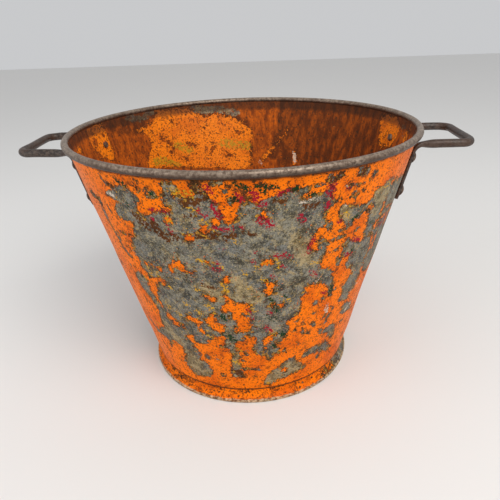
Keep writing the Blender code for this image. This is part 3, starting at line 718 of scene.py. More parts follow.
def sheet_outline(line, thickness):
    """A profile line closed into a sheet's outline, with the thickness on its right hand."""
    points = np.array(line)
    ahead = np.diff(points, axis=0)
    ahead /= np.linalg.norm(ahead, axis=1)[:, None]
    right = np.stack((ahead[:, 1], -ahead[:, 0]), axis=1)
    before = np.vstack((right[:1], right))
    after = np.vstack((right, right[-1:]))
    middle = before + after
    middle /= (middle * before).sum(axis=1)[:, None]
    behind = points + middle * thickness
    return [tuple(point) for point in points] + [tuple(point) for point in behind[::-1]]


def body_outline(inner_row, outer_row):
    """Wall and rolled rim as one closed outline, with its last inner row and its first outer row."""
    meet = 180.0 + math.degrees(math.acos((ROLL_RADIUS_AT - WALL_TOP_RADIUS) / RIM_ROLL_RADIUS))
    centre = (ROLL_RADIUS_AT, ROLL_HEIGHT_AT)
    low, top = (BASE_INNER_RADIUS, LIP_HEIGHT), (WALL_TOP_RADIUS, WALL_TOP_HEIGHT)
    inner = straight(low, top, inner_row)
    roll = arc(centre, RIM_ROLL_RADIUS, meet, RIM_ROLL_END, 18)[1:]
    hidden = sheet_outline([low, top] + arc(centre, RIM_ROLL_RADIUS, meet, RIM_ROLL_END, 8)[1:], BODY_SHEET)
    behind = hidden[len(hidden) // 2 :]
    outer = straight(behind[-2], behind[-1], outer_row)
    points = inner + roll + behind[:-2] + outer
    return points, len(inner) - 1, len(points) - len(outer)


def floor_line(row_length):
    """Top face of the floor from its middle out, then up the flange."""
    face_gap = (CLEARANCE + FLOOR_SHEET) / math.cos(WALL_LEAN)
    flange_top = FLOOR_HEIGHT + FLOOR_FLANGE
    lean = math.degrees(WALL_LEAN)
    corner = wall_inner(FLOOR_HEIGHT) - face_gap
    back = FLOOR_BEND * math.tan(math.radians(45.0 - lean / 2))
    bend = arc((corner - back, FLOOR_HEIGHT + FLOOR_BEND), FLOOR_BEND, -90.0, -lean, 6)
    flat = straight((0.0, FLOOR_HEIGHT), bend[0], 2 * row_length)
    flange = straight(bend[-1], (wall_inner(flange_top) - face_gap, flange_top), row_length)
    return flat + bend[1:] + flange[1:]


def foot_line():
    """Top of the foot's flange, down its flare and round its rolled edge."""
    flange_height = FLOOR_HEIGHT - FLOOR_SHEET - CLEARANCE
    neck = wall_inner(LIP_HEIGHT) - CLEARANCE
    rest = math.cos(math.radians(FOOT_REST_ANGLE))
    centre = (FOOT_RADIUS - FOOT_ROLL, FOOT_ROLL * rest)
    turn = math.radians(FLARE_ANGLE)
    flare_end = (centre[0] + FOOT_ROLL * math.cos(turn), centre[1] + FOOT_ROLL * math.sin(turn))
    flare_radius = (flare_end[0] - neck) / (1.0 - math.cos(turn))
    flare_centre = (neck + flare_radius, flare_end[1] + flare_radius * math.sin(turn))
    line = straight((neck - FOOT_FLANGE, flange_height), (neck - FOOT_BEND, flange_height), 2 * MM)
    line += arc((neck - FOOT_BEND, flange_height - FOOT_BEND), FOOT_BEND, 90.0, 0.0, 5)[1:]
    line += arc(flare_centre, flare_radius, 180.0, 180.0 + FLARE_ANGLE, 9)
    line += arc(centre, FOOT_ROLL, FLARE_ANGLE, FOOT_REST_ANGLE - 90.0, 9)[1:]
    line += arc(centre, FOOT_ROLL, -90.0 - FOOT_REST_ANGLE, FOOT_ROLL_END, 8)
    return line


# Nodes

FLOAT, COLOUR, VECTOR = "NodeSocketFloat", "NodeSocketColor", "NodeSocketVector"
WHOLE, GEOMETRY = "NodeSocketInt", "NodeSocketGeometry"
OBJECT, MATERIAL = "NodeSocketObject", "NodeSocketMaterial"


def named_tree(name, maker):
    """A node tree that is made once."""
    return bpy.data.node_groups.get(name) or maker()


class Graph:
    """Short calls for the nodes of one tree."""

    def __init__(self, tree):
        self.tree = tree

    def add(self, kind, inputs=None, **settings):
        """A node with its settings, and with links or values on its inputs."""
        node = self.tree.nodes.new(kind)
        for name, value in settings.items():
            setattr(node, name, value)
        for key, value in (inputs or {}).items():
            self.feed(node.inputs[key], value)
        return node

    def feed(self, socket, value):
        """Link a socket, or set its value."""
        if isinstance(value, bpy.types.NodeSocket):
            self.tree.links.new(value, socket)
        elif isinstance(value, tuple) and len(value) == 3 and socket.type == "RGBA":
            socket.default_value = (*value, 1.0)
        else:
            socket.default_value = value

    def math(self, operation, *values):
        """Result of a Math node."""
        return self.add("ShaderNodeMath", dict(enumerate(values)), operation=operation).outputs[0]

    def whole(self, operation, *values):
        """Result of an Integer Math node."""
        return self.add("FunctionNodeIntegerMath", dict(enumerate(values)), operation=operation).outputs[0]

    def plus(self, first, second):
        """Sum of two values."""
        return self.math("ADD", first, second)

    def less(self, first, second):
        """The first value less the second."""
        return self.math("SUBTRACT", first, second)

    def times(self, first, second):
        """Product of two values."""
        return self.math("MULTIPLY", first, second)

    def most(self, first, second):
        """The larger of two values."""
        return self.math("MAXIMUM", first, second)

    def without(self, share):
        """What a share leaves of one."""
        return self.math("SUBTRACT", 1.0, share)

    def rise(self, value, low, high):
        """Smooth share from 0 to 1 as a value goes from low to high."""
        inputs = {"Value": value, "From Min": low, "From Max": high}
        node = self.add("ShaderNodeMapRange", inputs, interpolation_type="SMOOTHSTEP", clamp=True)
        return node.outputs["Result"]

    def point(self, across, along, height):
        """A vector from its three parts."""
        return self.add("ShaderNodeCombineXYZ", {"X": across, "Y": along, "Z": height}).outputs[0]

    def blend(self, share, low, high):
        """Colour between two colours."""
        inputs = {0: share, 6: low, 7: high}
        return self.add("ShaderNodeMix", inputs, data_type="RGBA", clamp_factor=True).outputs[2]

    def between(self, share, low, high):
        """Value between two values."""
        inputs = {0: share, 2: low, 3: high}
        return self.add("ShaderNodeMix", inputs, data_type="FLOAT", clamp_factor=True).outputs[0]

    def noise(self, vector, size, detail=2.0, roughness=0.5):
        """Noise from 0 to 1 with features of a size."""
        inputs = {"Vector": vector, "Scale": 1.0 / size, "Detail": detail, "Roughness": roughness}
        return self.add("ShaderNodeTexNoise", inputs).outputs["Fac"]

    def cells(self, vector, size):
        """Random value of each flake-like cell."""
        node = self.add("ShaderNodeTexVoronoi", {"Vector": vector, "Scale": 1.0 / size})
        return self.channels(node.outputs["Color"])[0]

    def channels(self, colour):
        """Red, green and blue of a colour."""
        return self.add("ShaderNodeSeparateColor", {0: colour}).outputs

    def attribute(self, name):
        """Outputs of an attribute that the mesh carries."""
        return self.add("ShaderNodeAttribute", attribute_name=name).outputs

    def move(self, vector, offset, scale=(1.0, 1.0, 1.0)):
        """A vector moved and scaled."""
        inputs = {"Vector": vector, "Location": offset, "Scale": scale}
        return self.add("ShaderNodeMapping", inputs).outputs[0]

    def warp(self, vector, size, amount):
        """A vector pushed about by noise."""
        node = self.add("ShaderNodeTexNoise", {"Vector": vector, "Scale": 1.0 / size, "Detail": 2.0})
        inputs = {0: node.outputs["Color"], 1: (0.5, 0.5, 0.5)}
        centred = self.add("ShaderNodeVectorMath", inputs, operation="SUBTRACT").outputs[0]
        inputs = {0: centred, 1: (amount, amount, amount), 2: vector}
        return self.add("ShaderNodeVectorMath", inputs, operation="MULTIPLY_ADD").outputs[0]

    def place(self):
        """The piece's own coordinates in millimetres."""
        inputs = {0: self.add("ShaderNodeTexCoord").outputs["Object"], "Scale": 1.0 / MM}
        return self.add("ShaderNodeVectorMath", inputs, operation="SCALE").outputs[0]

    def group(self, name, maker, **values):
        """Outputs of a shared node group placed with its own values."""
        inputs = {key.replace("_", " ").title(): value for key, value in values.items()}
        return self.add("ShaderNodeGroup", inputs, node_tree=named_tree(name, maker)).outputs

    def specks(self, place, share, size, rarity, gain, offset):
        """Mask of clustered specks, moved by an offset so that each set has its own places."""
        moved = self.move(place, offset)
        values = {"place": moved, "share": share, "size": size, "rarity": rarity, "gain": gain}
        return self.group("clustered_specks", speckle_group, **values)["Mask"]

    def finish(self, shape, material, socket):
        """Make a tree's shape real, give it its material and put it out."""
        real = self.add("GeometryNodeRealizeInstances", {"Geometry": shape}).outputs[0]
        finished = self.add("GeometryNodeSetMaterial", {"Geometry": real, "Material": material})
        self.feed(socket, finished.outputs[0])


def new_tree(name, kind, inputs, outputs):
    """Graph of an empty tree, with its given sockets and the ones to feed."""
    tree = bpy.data.node_groups.new(name, kind)
    for label, socket_type, default in inputs:
        socket = tree.interface.new_socket(label, in_out="INPUT", socket_type=socket_type)
        if default is not None:
            socket.default_value = default
    for label, socket_type in outputs:
        tree.interface.new_socket(label, in_out="OUTPUT", socket_type=socket_type)
    given, made = tree.nodes.new("NodeGroupInput"), tree.nodes.new("NodeGroupOutput")
    return Graph(tree), given.outputs, made.inputs


# Geometry Nodes


def turned_sheet_tree():
    """Tree that turns a profile line about the Z axis and lets the wall wander in and out a little."""
    g, given, made = new_tree(
        "turned_sheet", "GeometryNodeTree",
        (
            ("Profile", GEOMETRY, None), ("Closed", WHOLE, 1), ("Columns", WHOLE, 64),
            ("Fine Columns", WHOLE, 0), ("Fine Sweep", FLOAT, 0.0), ("Start Angle", FLOAT, 0.0),
            ("Dent Depth", FLOAT, 0.0), ("Dent Size", FLOAT, 0.08), ("Dent From", FLOAT, 0.0),
            ("Dent To", FLOAT, 1.0), ("Dent Fade", FLOAT, 0.02), ("Clear Above", FLOAT, 1.0),
            ("Clear Half Width", FLOAT, 0.0), ("Seed", FLOAT, 1.0), ("Finish", MATERIAL, None),
        ),
        (("Sheet", GEOMETRY),),
    )
    g.tree.is_modifier = True
    size = g.add("GeometryNodeAttributeDomainSize", {"Geometry": given["Profile"]}, component="MESH")
    count = size.outputs["Point Count"]
    rows = g.whole("ADD", count, given["Closed"])
    columns = g.whole("ADD", given["Columns"], 1)
    grid = g.add("GeometryNodeMeshGrid", {"Vertices X": columns, "Vertices Y": rows})
    index = g.add("GeometryNodeInputIndex").outputs[0]
    column = g.whole("DIVIDE_FLOOR", index, rows)
    row = g.whole("MODULO", g.whole("MODULO", index, rows), count)
    position = g.add("GeometryNodeInputPosition").outputs[0]
    inputs = {"Geometry": given["Profile"], "Value": position, "Index": row}
    sample = g.add("GeometryNodeSampleIndex", inputs, data_type="FLOAT_VECTOR", domain="POINT")
    spot = g.add("ShaderNodeSeparateXYZ", {0: sample.outputs["Value"]})
    radius, height = spot.outputs["X"], spot.outputs["Z"]
    fine = g.math("MINIMUM", column, given["Fine Columns"])
    fine_step = g.math("DIVIDE", given["Fine Sweep"], g.most(given["Fine Columns"], 1.0))
    rest = g.less(given["Columns"], given["Fine Columns"])
    rest_step = g.math("DIVIDE", g.less(2 * math.pi, given["Fine Sweep"]), rest)
    turn = g.math("MULTIPLY_ADD", fine, fine_step, g.times(g.less(column, fine), rest_step))
    angle = g.plus(turn, given["Start Angle"])
    across, along = g.math("COSINE", angle), g.math("SINE", angle)

    place = g.point(g.times(across, ROLL_RADIUS_AT), g.times(along, ROLL_RADIUS_AT), height)
    wander = 0.0
    for scale, share in DENT_WAVES:
        inputs = {"Vector": place, "W": given["Seed"], "Detail": 1.0}
        dents = g.add("ShaderNodeTexNoise", inputs, noise_dimensions="4D")
        g.feed(dents.inputs["Scale"], g.math("DIVIDE", scale, given["Dent Size"]))
        wander = g.plus(wander, g.times(g.less(dents.outputs[0], 0.5), 3.0 * share))
    fade = given["Dent Fade"]
    low = g.rise(g.less(height, given["Dent From"]), 0.0, fade)
    high = g.rise(g.less(given["Dent To"], height), 0.0, fade)
    aside = g.less(g.math("ABSOLUTE", g.times(along, radius)), given["Clear Half Width"])
    below = g.less(given["Clear Above"], height)
    free = g.most(g.rise(aside, 0.0, fade), g.rise(below, 0.0, fade))
    push = g.times(g.times(wander, given["Dent Depth"]), g.times(g.times(low, high), free))
    reach = g.plus(radius, push)

    inputs = {"Geometry": grid.outputs["Mesh"], "Name": "row", "Value": row}
    marked = g.add("GeometryNodeStoreNamedAttribute", inputs, data_type="INT", domain="POINT")
    goal = g.point(g.times(across, reach), g.times(along, reach), height)
    placed = g.add("GeometryNodeSetPosition", {"Geometry": marked.outputs[0], "Position": goal})
    inputs = {"Geometry": placed.outputs[0], "Distance": MERGE_DISTANCE}
    merged = g.add("GeometryNodeMergeByDistance", inputs)
    g.finish(merged.outputs[0], given["Finish"], made["Sheet"])
    return g.tree


def rivet_tree():
    """Tree that sets one rivet on each point, along the point's own direction, each a little different."""
    g, given, made = new_tree(
        "set_rivets", "GeometryNodeTree",
        (
            ("Points", GEOMETRY, None), ("Rivet", OBJECT, None), ("Size Change", FLOAT, 0.04),
            ("Seed", WHOLE, 3), ("Finish", MATERIAL, None),
        ),
        (("Rivets", GEOMETRY),),
    )
    g.tree.is_modifier = True
    rivet = g.add("GeometryNodeObjectInfo", {"Object": given["Rivet"]}, transform_space="ORIGINAL")
    facing = g.add("GeometryNodeInputNamedAttribute", {"Name": "facing"}, data_type="FLOAT_VECTOR")
    inputs = {"Vector": facing.outputs["Attribute"]}
    aligned = g.add("FunctionNodeAlignRotationToVector", inputs, axis="Z")
    # Inputs 2 and 3 of a Random Value are its lowest and highest number, and output 1 is the number
    spin = g.add("FunctionNodeRandomValue", {3: 2 * math.pi, "Seed": given["Seed"]}, data_type="FLOAT")
    inputs = {"Axis": (0.0, 0.0, 1.0), "Angle": spin.outputs[1]}
    turned = g.add("FunctionNodeAxisAngleToRotation", inputs)
    inputs = {"Rotation": aligned.outputs[0], "Rotate By": turned.outputs[0]}
    about = g.add("FunctionNodeRotateRotation", inputs, rotation_space="LOCAL")
    inputs = {
        2: g.less(1.0, given["Size Change"]), 3: g.plus(1.0, given["Size Change"]),
        "Seed": g.whole("ADD", given["Seed"], 1),
    }
    change = g.add("FunctionNodeRandomValue", inputs, data_type="FLOAT").outputs[1]
    inputs = {
        "Points": given["Points"], "Instance": rivet.outputs["Geometry"],
        "Rotation": about.outputs[0], "Scale": g.point(change, change, 1.0),
    }
    set_on = g.add("GeometryNodeInstanceOnPoints", inputs)
    g.finish(set_on.outputs[0], given["Finish"], made["Rivets"])
    return g.tree


def run_tree(item, tree, **values):
    """Run a geometry tree on an object and keep its result as the object's plain mesh."""
    modifier = item.modifiers.new(tree.name, "NODES")
    modifier.node_group = tree
    for socket in tree.interface.items_tree:
        key = socket.name.lower().replace(" ", "_")
        if socket.in_out == "INPUT" and key in values:
            modifier[socket.identifier] = values[key]
    graph = bpy.context.evaluated_depsgraph_get()
    mesh = bpy.data.meshes.new_from_object(
        item.evaluated_get(graph), preserve_all_data_layers=True, depsgraph=graph
    )
    item.modifiers.clear()
    item.data = mesh
    mesh.name = item.name


def profile_item(name, points, closed):
    """Object whose mesh is one profile line in the XZ plane."""
    mesh = bpy.data.meshes.new(name)
    last = len(points) - 1
    edges = [(place, place + 1) for place in range(last)]
    if closed:
        edges.append((last, 0))
    mesh.from_pydata([(radius, 0.0, height) for radius, height in points], edges, [])
    item = bpy.data.objects.new(name, mesh)
    bpy.context.scene.collection.objects.link(item)
    return item


def turn_profile(name, points, finish, closed=True, **values):
    """Turned piece with its faces pointing outward."""
    item = profile_item(name, points, closed)
    run_tree(item, named_tree("turned_sheet", turned_sheet_tree), closed=int(closed), finish=finish, **values)
    face_outward(item.data)
    set_finishes(item.data, finish)
    return item


def set_finishes(mesh, *finishes, places=None):
    """The mesh's materials, in place of the empty slot that a tree leaves before its own."""
    mesh.materials.clear()
    for finish in finishes:
        mesh.materials.append(finish)
    chosen = np.zeros(len(mesh.polygons), dtype=np.int32) if places is None else places
    mesh.polygons.foreach_set("material_index", chosen)
    mesh.update()


def face_outward(mesh, sharp=38.0):
    """Faces turned outward and smooth, with the edges of the sheet kept sharp."""
    shape = bmesh.new()
    shape.from_mesh(mesh)
    bmesh.ops.recalc_face_normals(shape, faces=shape.faces)
    shape.to_mesh(mesh)
    shape.free()
    mesh.shade_smooth()
    mesh.set_sharp_from_angle(angle=math.radians(sharp))


def mesh_points(mesh):
    """The mesh's points as rows of X, Y and Z."""
    spots = np.empty(len(mesh.vertices) * 3)
    mesh.vertices.foreach_get("co", spots)
    return spots.reshape(-1, 3)


def settle(item, slot, *nodes):
    """Let a finished piece ride on the bucket and stand for its solids."""
    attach(item, BODY)
    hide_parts(*nodes)


# Layout of the worn paint


def view_axes():
    """Right, up and forward directions of the photograph's camera."""
    turn = Matrix.Rotation(CAMERA_YAW, 3, "Z")
    forward = turn @ Vector((0.0, math.cos(CAMERA_PITCH), -math.sin(CAMERA_PITCH)))
    level_up = turn @ Vector((0.0, math.sin(CAMERA_PITCH), math.cos(CAMERA_PITCH)))
    level_right = turn @ Vector((1.0, 0.0, 0.0))
    right = level_right * math.cos(CAMERA_ROLL) + level_up * math.sin(CAMERA_ROLL)
    up = level_up * math.cos(CAMERA_ROLL) - level_right * math.sin(CAMERA_ROLL)
    return right, up, forward


def wall_places(outline, inside):
    """Azimuth in radians and height where sight lines through an outline's pixels meet the wall."""
    right, up, forward = (np.array(axis) for axis in view_axes())
    pixels = np.array([[float(part) for part in pair.split(",")] for pair in outline.split()])
    across, down = pixels[:, :1] - CENTRE_PIXEL[0], pixels[:, 1:] - CENTRE_PIXEL[1]
    rays = forward * FOCAL_PIXELS + right * across - up * down
    rays /= np.linalg.norm(rays, axis=1)[:, None]
    eye = np.array(CAMERA_PLACE)
    base = BASE_INNER_RADIUS - LIP_HEIGHT * WALL_SLOPE + (0.0 if inside else WALL_PROUD)
    here = base + WALL_SLOPE * eye[2]
    # Along a ray the wall is where square * reach**2 + 2 * half * reach + rest is zero
    square = rays[:, 0] ** 2 + rays[:, 1] ** 2 - (WALL_SLOPE * rays[:, 2]) ** 2
    half = rays[:, 0] * eye[0] + rays[:, 1] * eye[1] - here * WALL_SLOPE * rays[:, 2]
    rest = eye[0] ** 2 + eye[1] ** 2 - here**2
    root = np.sqrt(np.maximum(half**2 - square * rest, 0.0))
    reach = (-half + root) / square if inside else (-half - root) / square
    spots = eye + rays * reach[:, None]
    return np.arctan2(spots[:, 1], spots[:, 0]), spots[:, 2]


def unroll(azimuth, height, centre):
    """Millimetres along and up the wall, from a centre azimuth."""
    turned = (azimuth - centre + math.pi) % (2 * math.pi) - math.pi
    return np.stack((turned * wall_inner(height) / MM, height / math.cos(WALL_LEAN) / MM), axis=1)


def line_distance(points, start, stop):
    """Distance of each point from a straight stretch."""
    along = stop - start
    share = np.clip(((points - start) @ along) / max(along @ along, 1e-9), 0.0, 1.0)
    return np.linalg.norm(points - start - share[:, None] * along, axis=1)


def mark_distance(places, outline, inside, half_width=None):
    """Millimetres that each wall place lies inside a mark, which is a filled outline or a streak."""
    azimuth, height = wall_places(outline, inside)
    centre = math.atan2(np.sin(azimuth).mean(), np.cos(azimuth).mean())
    corners = unroll(azimuth, height, centre)
    points = unroll(places[0], places[1], centre)
    depth = np.full(len(points), -FAR_MARK)
    margin = FAR_MARK if half_width is None else FAR_MARK + half_width
    near = np.all((points > corners.min(axis=0) - margin) & (points < corners.max(axis=0) + margin), axis=1)
    spots = points[near]
    pairs = list(zip(corners, corners[1:]))
    if half_width is None:
        pairs.append((corners[-1], corners[0]))
    away = np.full(len(spots), FAR_MARK)
    within = np.zeros(len(spots), dtype=bool)
    for start, stop in pairs:
        away = np.minimum(away, line_distance(spots, start, stop))
        if half_width is None:
            above = (start[1] > spots[:, 1]) != (stop[1] > spots[:, 1])
            rise_by = stop[1] - start[1] if stop[1] != start[1] else 1e-9
            crossing = start[0] + (spots[:, 1] - start[1]) * (stop[0] - start[0]) / rise_by
            within ^= above & (spots[:, 0] < crossing)
    if half_width is None:
        depth[near] = np.where(within, away, -away)
    else:
        depth[near] = half_width - away
    return depth


def smooth_share(value, low, high):
    """Smooth share from 0 to 1 as values go from low to high."""
    share = np.clip((value - low) / (high - low), 0.0, 1.0)
    return share * share * (3.0 - 2.0 * share)


def drift(points, size, seed):
    """Slow random change over the surface, about -1 to 1, for places in millimetres."""
    shift = Vector((seed * 17.3, seed * 5.1, seed * 9.7))
    return np.array([noise.fractal(Vector(point) / size + shift, 0.6, 2.1, 4) for point in points])


def marks_depth(places, inside, outlines=(), streaks=()):
    """Millimetres that each wall place lies inside the nearest of some outlines and streaks."""
    depth = np.full(len(places[0]), -FAR_MARK)
    for outline in outlines:
        depth = np.maximum(depth, mark_distance(places, outline, inside))
    for half_width, line in streaks:
        depth = np.maximum(depth, mark_distance(places, line, inside, half_width))
    return depth


def outside_layout(places):
    """Bare distance of the outer face: worn fields and streaks, less the paint that stands in them."""
    worn = marks_depth(places, False, BARE_FIELDS.values(), BARE_STREAKS.values())
    return np.minimum(worn, -marks_depth(places, False, PAINT_ISLANDS.values(), PAINT_STREAKS.values()))


def inside_layout(places):
    """Bare distance of the inner face: what the bright paint leaves, and the holes in it."""
    paint = marks_depth(places, True, INSIDE_PAINT.values(), INSIDE_STREAKS.values())
    return np.maximum(-paint, marks_depth(places, True, streaks=INSIDE_HOLES.values()))


def traced_hints(places, hints, inside):
    """Four shares for each place: crimson, yellow, green and rust, which inside also carries painted shade.
    """
    shares = np.zeros((len(places[0]), 4))
    for channel, marks in hints.items():
        for half_width, line in marks.values():
            depth = mark_distance(places, line, inside, half_width)
            shares[:, channel] = np.maximum(shares[:, channel], smooth_share(depth, -3.0, 1.0))
    return shares


def wild_hints(points, size, level, seed):
    """Four invented shares for each point, with patches of a size."""
    seeds = range(seed, seed + 4)
    return np.stack([np.clip(1.6 * drift(points, size, each) - level, 0.0, 1.0) for each in seeds], axis=1)


def mark_share(places, marks, inside, fade=3.0):
    """Share from 0 to 1 that each place lies in a set of soft marks."""
    share = np.zeros(len(places[0]))
    for half_width, line in marks.values():
        depth = mark_distance(places, line, inside, half_width)
        share = np.maximum(share, smooth_share(depth, -fade, fade / 2))
    return share


def outside_wear(azimuth, spots):
    """Wear of the outer face, as traced where the photograph shows it and invented behind."""
    places, points = (azimuth, spots[:, 2]), spots / MM
    seen = smooth_share(-np.sin(azimuth - CAMERA_YAW), *OUTSIDE_SEEN)
    wild = 34.0 * drift(points, 62.0, 1) - 1.0
    bare = wild + (outside_layout(places) - wild) * seen
    chalk = mark_share(places, OUTSIDE_CHALK, False) * seen
    stain = mark_share(places, OUTSIDE_STAINS, False, STAIN_FADE) * seen
    traced = traced_hints(places, OUTSIDE_HINTS, False) * seen[:, None]
    return bare, chalk, stain, traced + wild_hints(points, 15.0, 0.45, 2) * (1.0 - seen[:, None])


def inside_wear(azimuth, spots):
    """Wear of the inner face, as traced where the photograph looks in and invented elsewhere."""
    places, points = (azimuth, spots[:, 2]), spots / MM
    seen = smooth_share(np.sin(azimuth - CAMERA_YAW), *INSIDE_SEEN)
    seen = seen * smooth_share(spots[:, 2], *INSIDE_SEEN_HEIGHTS)
    wild = 8.0 + 30.0 * drift(points, 55.0, 6)
    bare = wild + (inside_layout(places) - wild) * seen
    chalk = mark_share(places, INSIDE_CHALK, True) * seen
    traced = traced_hints(places, INSIDE_HINTS, True) * seen[:, None]
    hints = traced + wild_hints(points, 22.0, 0.4, 7) * (1.0 - seen[:, None])
    return bare, chalk, np.zeros(len(spots)), hints


def lay_paint(mesh, outside):
    """Store the wear of the paint, and a painted sheen on the sides, on the body's points."""
    spots = mesh_points(mesh)
    azimuth = np.arctan2(spots[:, 1], spots[:, 0])
    wear = np.zeros((len(spots), 7))
    wear[outside] = np.column_stack(outside_wear(azimuth[outside], spots[outside]))
    wear[~outside] = np.column_stack(inside_wear(azimuth[~outside], spots[~outside]))
    bare, chalk, stain = wear[:, :3].T
    store_wear(mesh, bare, wear[:, 3:], chalk, stain)
    # The fade attribute is a painted sheen, strongest on the sides that turn away from the camera
    fade = SIDE_SHEEN * smooth_share(np.abs(np.cos(azimuth - CAMERA_YAW)), *SIDE_SHEEN_BAND)
    mesh.attributes.new("fade", "FLOAT", "POINT").data.foreach_set("value", fade)


def store_wear(mesh, bare, hints, chalk=0.0, stain=0.0):
    """Keep the bare distance, the colour hints, the chalk and the stains on the mesh's points."""
    for name, values in (("bare", np.clip(bare, -FAR_MARK, FAR_MARK)), ("chalk", chalk), ("stain", stain)):
        layer = mesh.attributes.new(name, "FLOAT", "POINT").data
        layer.foreach_set("value", np.ascontiguousarray(np.broadcast_to(values, len(layer))))
    mesh.attributes.new("hints", "FLOAT_COLOR", "POINT").data.foreach_set("color", hints.ravel())


# Shader groups


def new_group(name, inputs, outputs):
    """An empty shader group with its sockets."""
    return new_tree(name, "ShaderNodeTree", inputs, outputs)


def chipped_coats_group():
    """Ragged masks of a paint film whose bare distance is given in millimetres."""
    g, given, made = new_group(
        "chipped_coats",
        (
            ("Place", VECTOR, None), ("Bare", FLOAT, 0.0), ("Wander", FLOAT, 8.0), ("Fray", FLOAT, 7.5),
            ("Flake", FLOAT, 2.6), ("Older Width", FLOAT, 3.0),
            ("Chips", FLOAT, 0.61), ("Flecks", FLOAT, 0.645),
        ),
        (("Paint", FLOAT), ("Older", FLOAT), ("Edge", FLOAT), ("Away", FLOAT), ("Chip", FLOAT)),
    )
    place = given["Place"]
    warped = g.warp(place, 6.0, 4.5)
    broad = g.times(g.less(g.noise(place, 14.0, 2.0), 0.5), given["Wander"])
    fine = g.times(g.less(g.noise(warped, 3.4, 5.0, 0.66), 0.5), given["Fray"])
    flakes = g.plus(g.cells(warped, 4.0), g.times(g.cells(warped, 1.7), 0.7))
    flaky = g.times(g.less(flakes, 0.85), given["Flake"])
    away = g.plus(given["Bare"], g.plus(broad, g.plus(fine, flaky)))
    paint = g.rise(away, 0.2, -0.2)
    chip_noise = g.noise(g.move(warped, (31.0, 7.0, 3.0)), 2.1, 4.0, 0.66)
    chip_edge = g.plus(given["Chips"], g.times(g.rise(away, -2.0, -13.0), 0.05))
    chips = g.rise(g.less(chip_noise, chip_edge), 0.0, 0.015)
    fleck_noise = g.noise(g.move(warped, (5.0, 43.0, 19.0)), 1.8, 3.0, 0.62)
    fleck_edge = g.plus(given["Flecks"], g.times(g.rise(away, 3.0, 20.0), 0.07))
    flecks = g.rise(g.less(fleck_noise, fleck_edge), 0.0, 0.02)
    kept = g.times(paint, g.without(chips))
    film = g.most(kept, g.times(flecks, g.without(paint)))
    width = g.noise(g.move(place, (11.0, 3.0, 29.0)), 7.0, 4.0, 0.62)
    wide = g.times(g.times(g.less(width, 0.44), given["Older Width"]), 8.0)
    older = g.rise(g.less(away, wide), 0.2, -0.2)
    rim = g.rise(g.math("ABSOLUTE", g.less(away, 0.5)), 1.15, 0.35)
    g.feed(made["Paint"], film)
    g.feed(made["Older"], g.times(older, g.without(film)))
    g.feed(made["Edge"], rim)
    g.feed(made["Away"], away)
    g.feed(made["Chip"], g.times(chips, paint))
    return g.tree


def zinc_group():
    """Weathered zinc: mottled warm grey with olive stains, dark specks and pale spots."""
    g, given, made = new_group(
        "weathered_zinc",
        (("Place", VECTOR, None), ("Metal", COLOUR, (0.15, 0.12, 0.08, 1.0)), ("Tarnish", FLOAT, 0.5)),
        (("Color", COLOUR), ("Roughness", FLOAT), ("Height", FLOAT)),
    )
    place = given["Place"]
    clouds = g.noise(place, 26.0, 5.0, 0.66)
    mottle = g.noise(g.move(place, (3.0, 9.0, 1.0)), 11.0, 8.0, 0.84)
    grain = g.noise(g.move(place, (13.0, 2.0, 7.0)), 1.3, 4.0, 0.72)
    dark = g.blend(0.70, given["Metal"], ZINC_DARK)
    light = g.blend(0.50, given["Metal"], ZINC_LIGHT)
    tone = g.blend(g.rise(mottle, 0.41, 0.59), dark, light)
    cool = g.times(g.rise(clouds, 0.42, 0.56), 0.65)
    tone = g.blend(cool, tone, g.blend(g.rise(mottle, 0.41, 0.59), ZINC_COOL_DARK, ZINC_COOL_LIGHT))
    tone = g.blend(g.times(g.rise(grain, 0.40, 0.60), 0.22), tone, ZINC_GRAIN)
    olive = g.noise(g.move(place, (41.0, 21.0, 5.0)), 8.0, 7.0, 0.78)
    edge = g.less(0.66, g.times(given["Tarnish"], 0.16))
    stained = g.times(g.rise(g.less(olive, edge), -0.06, 0.04), 0.72)
    tone = g.blend(stained, tone, g.blend(g.rise(mottle, 0.40, 0.60), STAIN_DARK, STAIN_LIGHT))
    specks = g.times(g.rise(grain, 0.565, 0.62), 0.85)
    tone = g.blend(specks, tone, ZINC_SPECK)
    pale = g.rise(g.noise(g.move(place, (1.0, 33.0, 15.0)), 1.7, 4.0, 0.66), 0.555, 0.61)
    tone = g.blend(g.times(pale, 0.55), tone, ZINC_PALE)
    g.feed(made["Color"], tone)
    g.feed(made["Roughness"], g.between(mottle, 0.40, 0.70))
    g.feed(made["Height"], g.plus(g.times(mottle, 0.14), g.times(grain, 0.10)))
    return g.tree


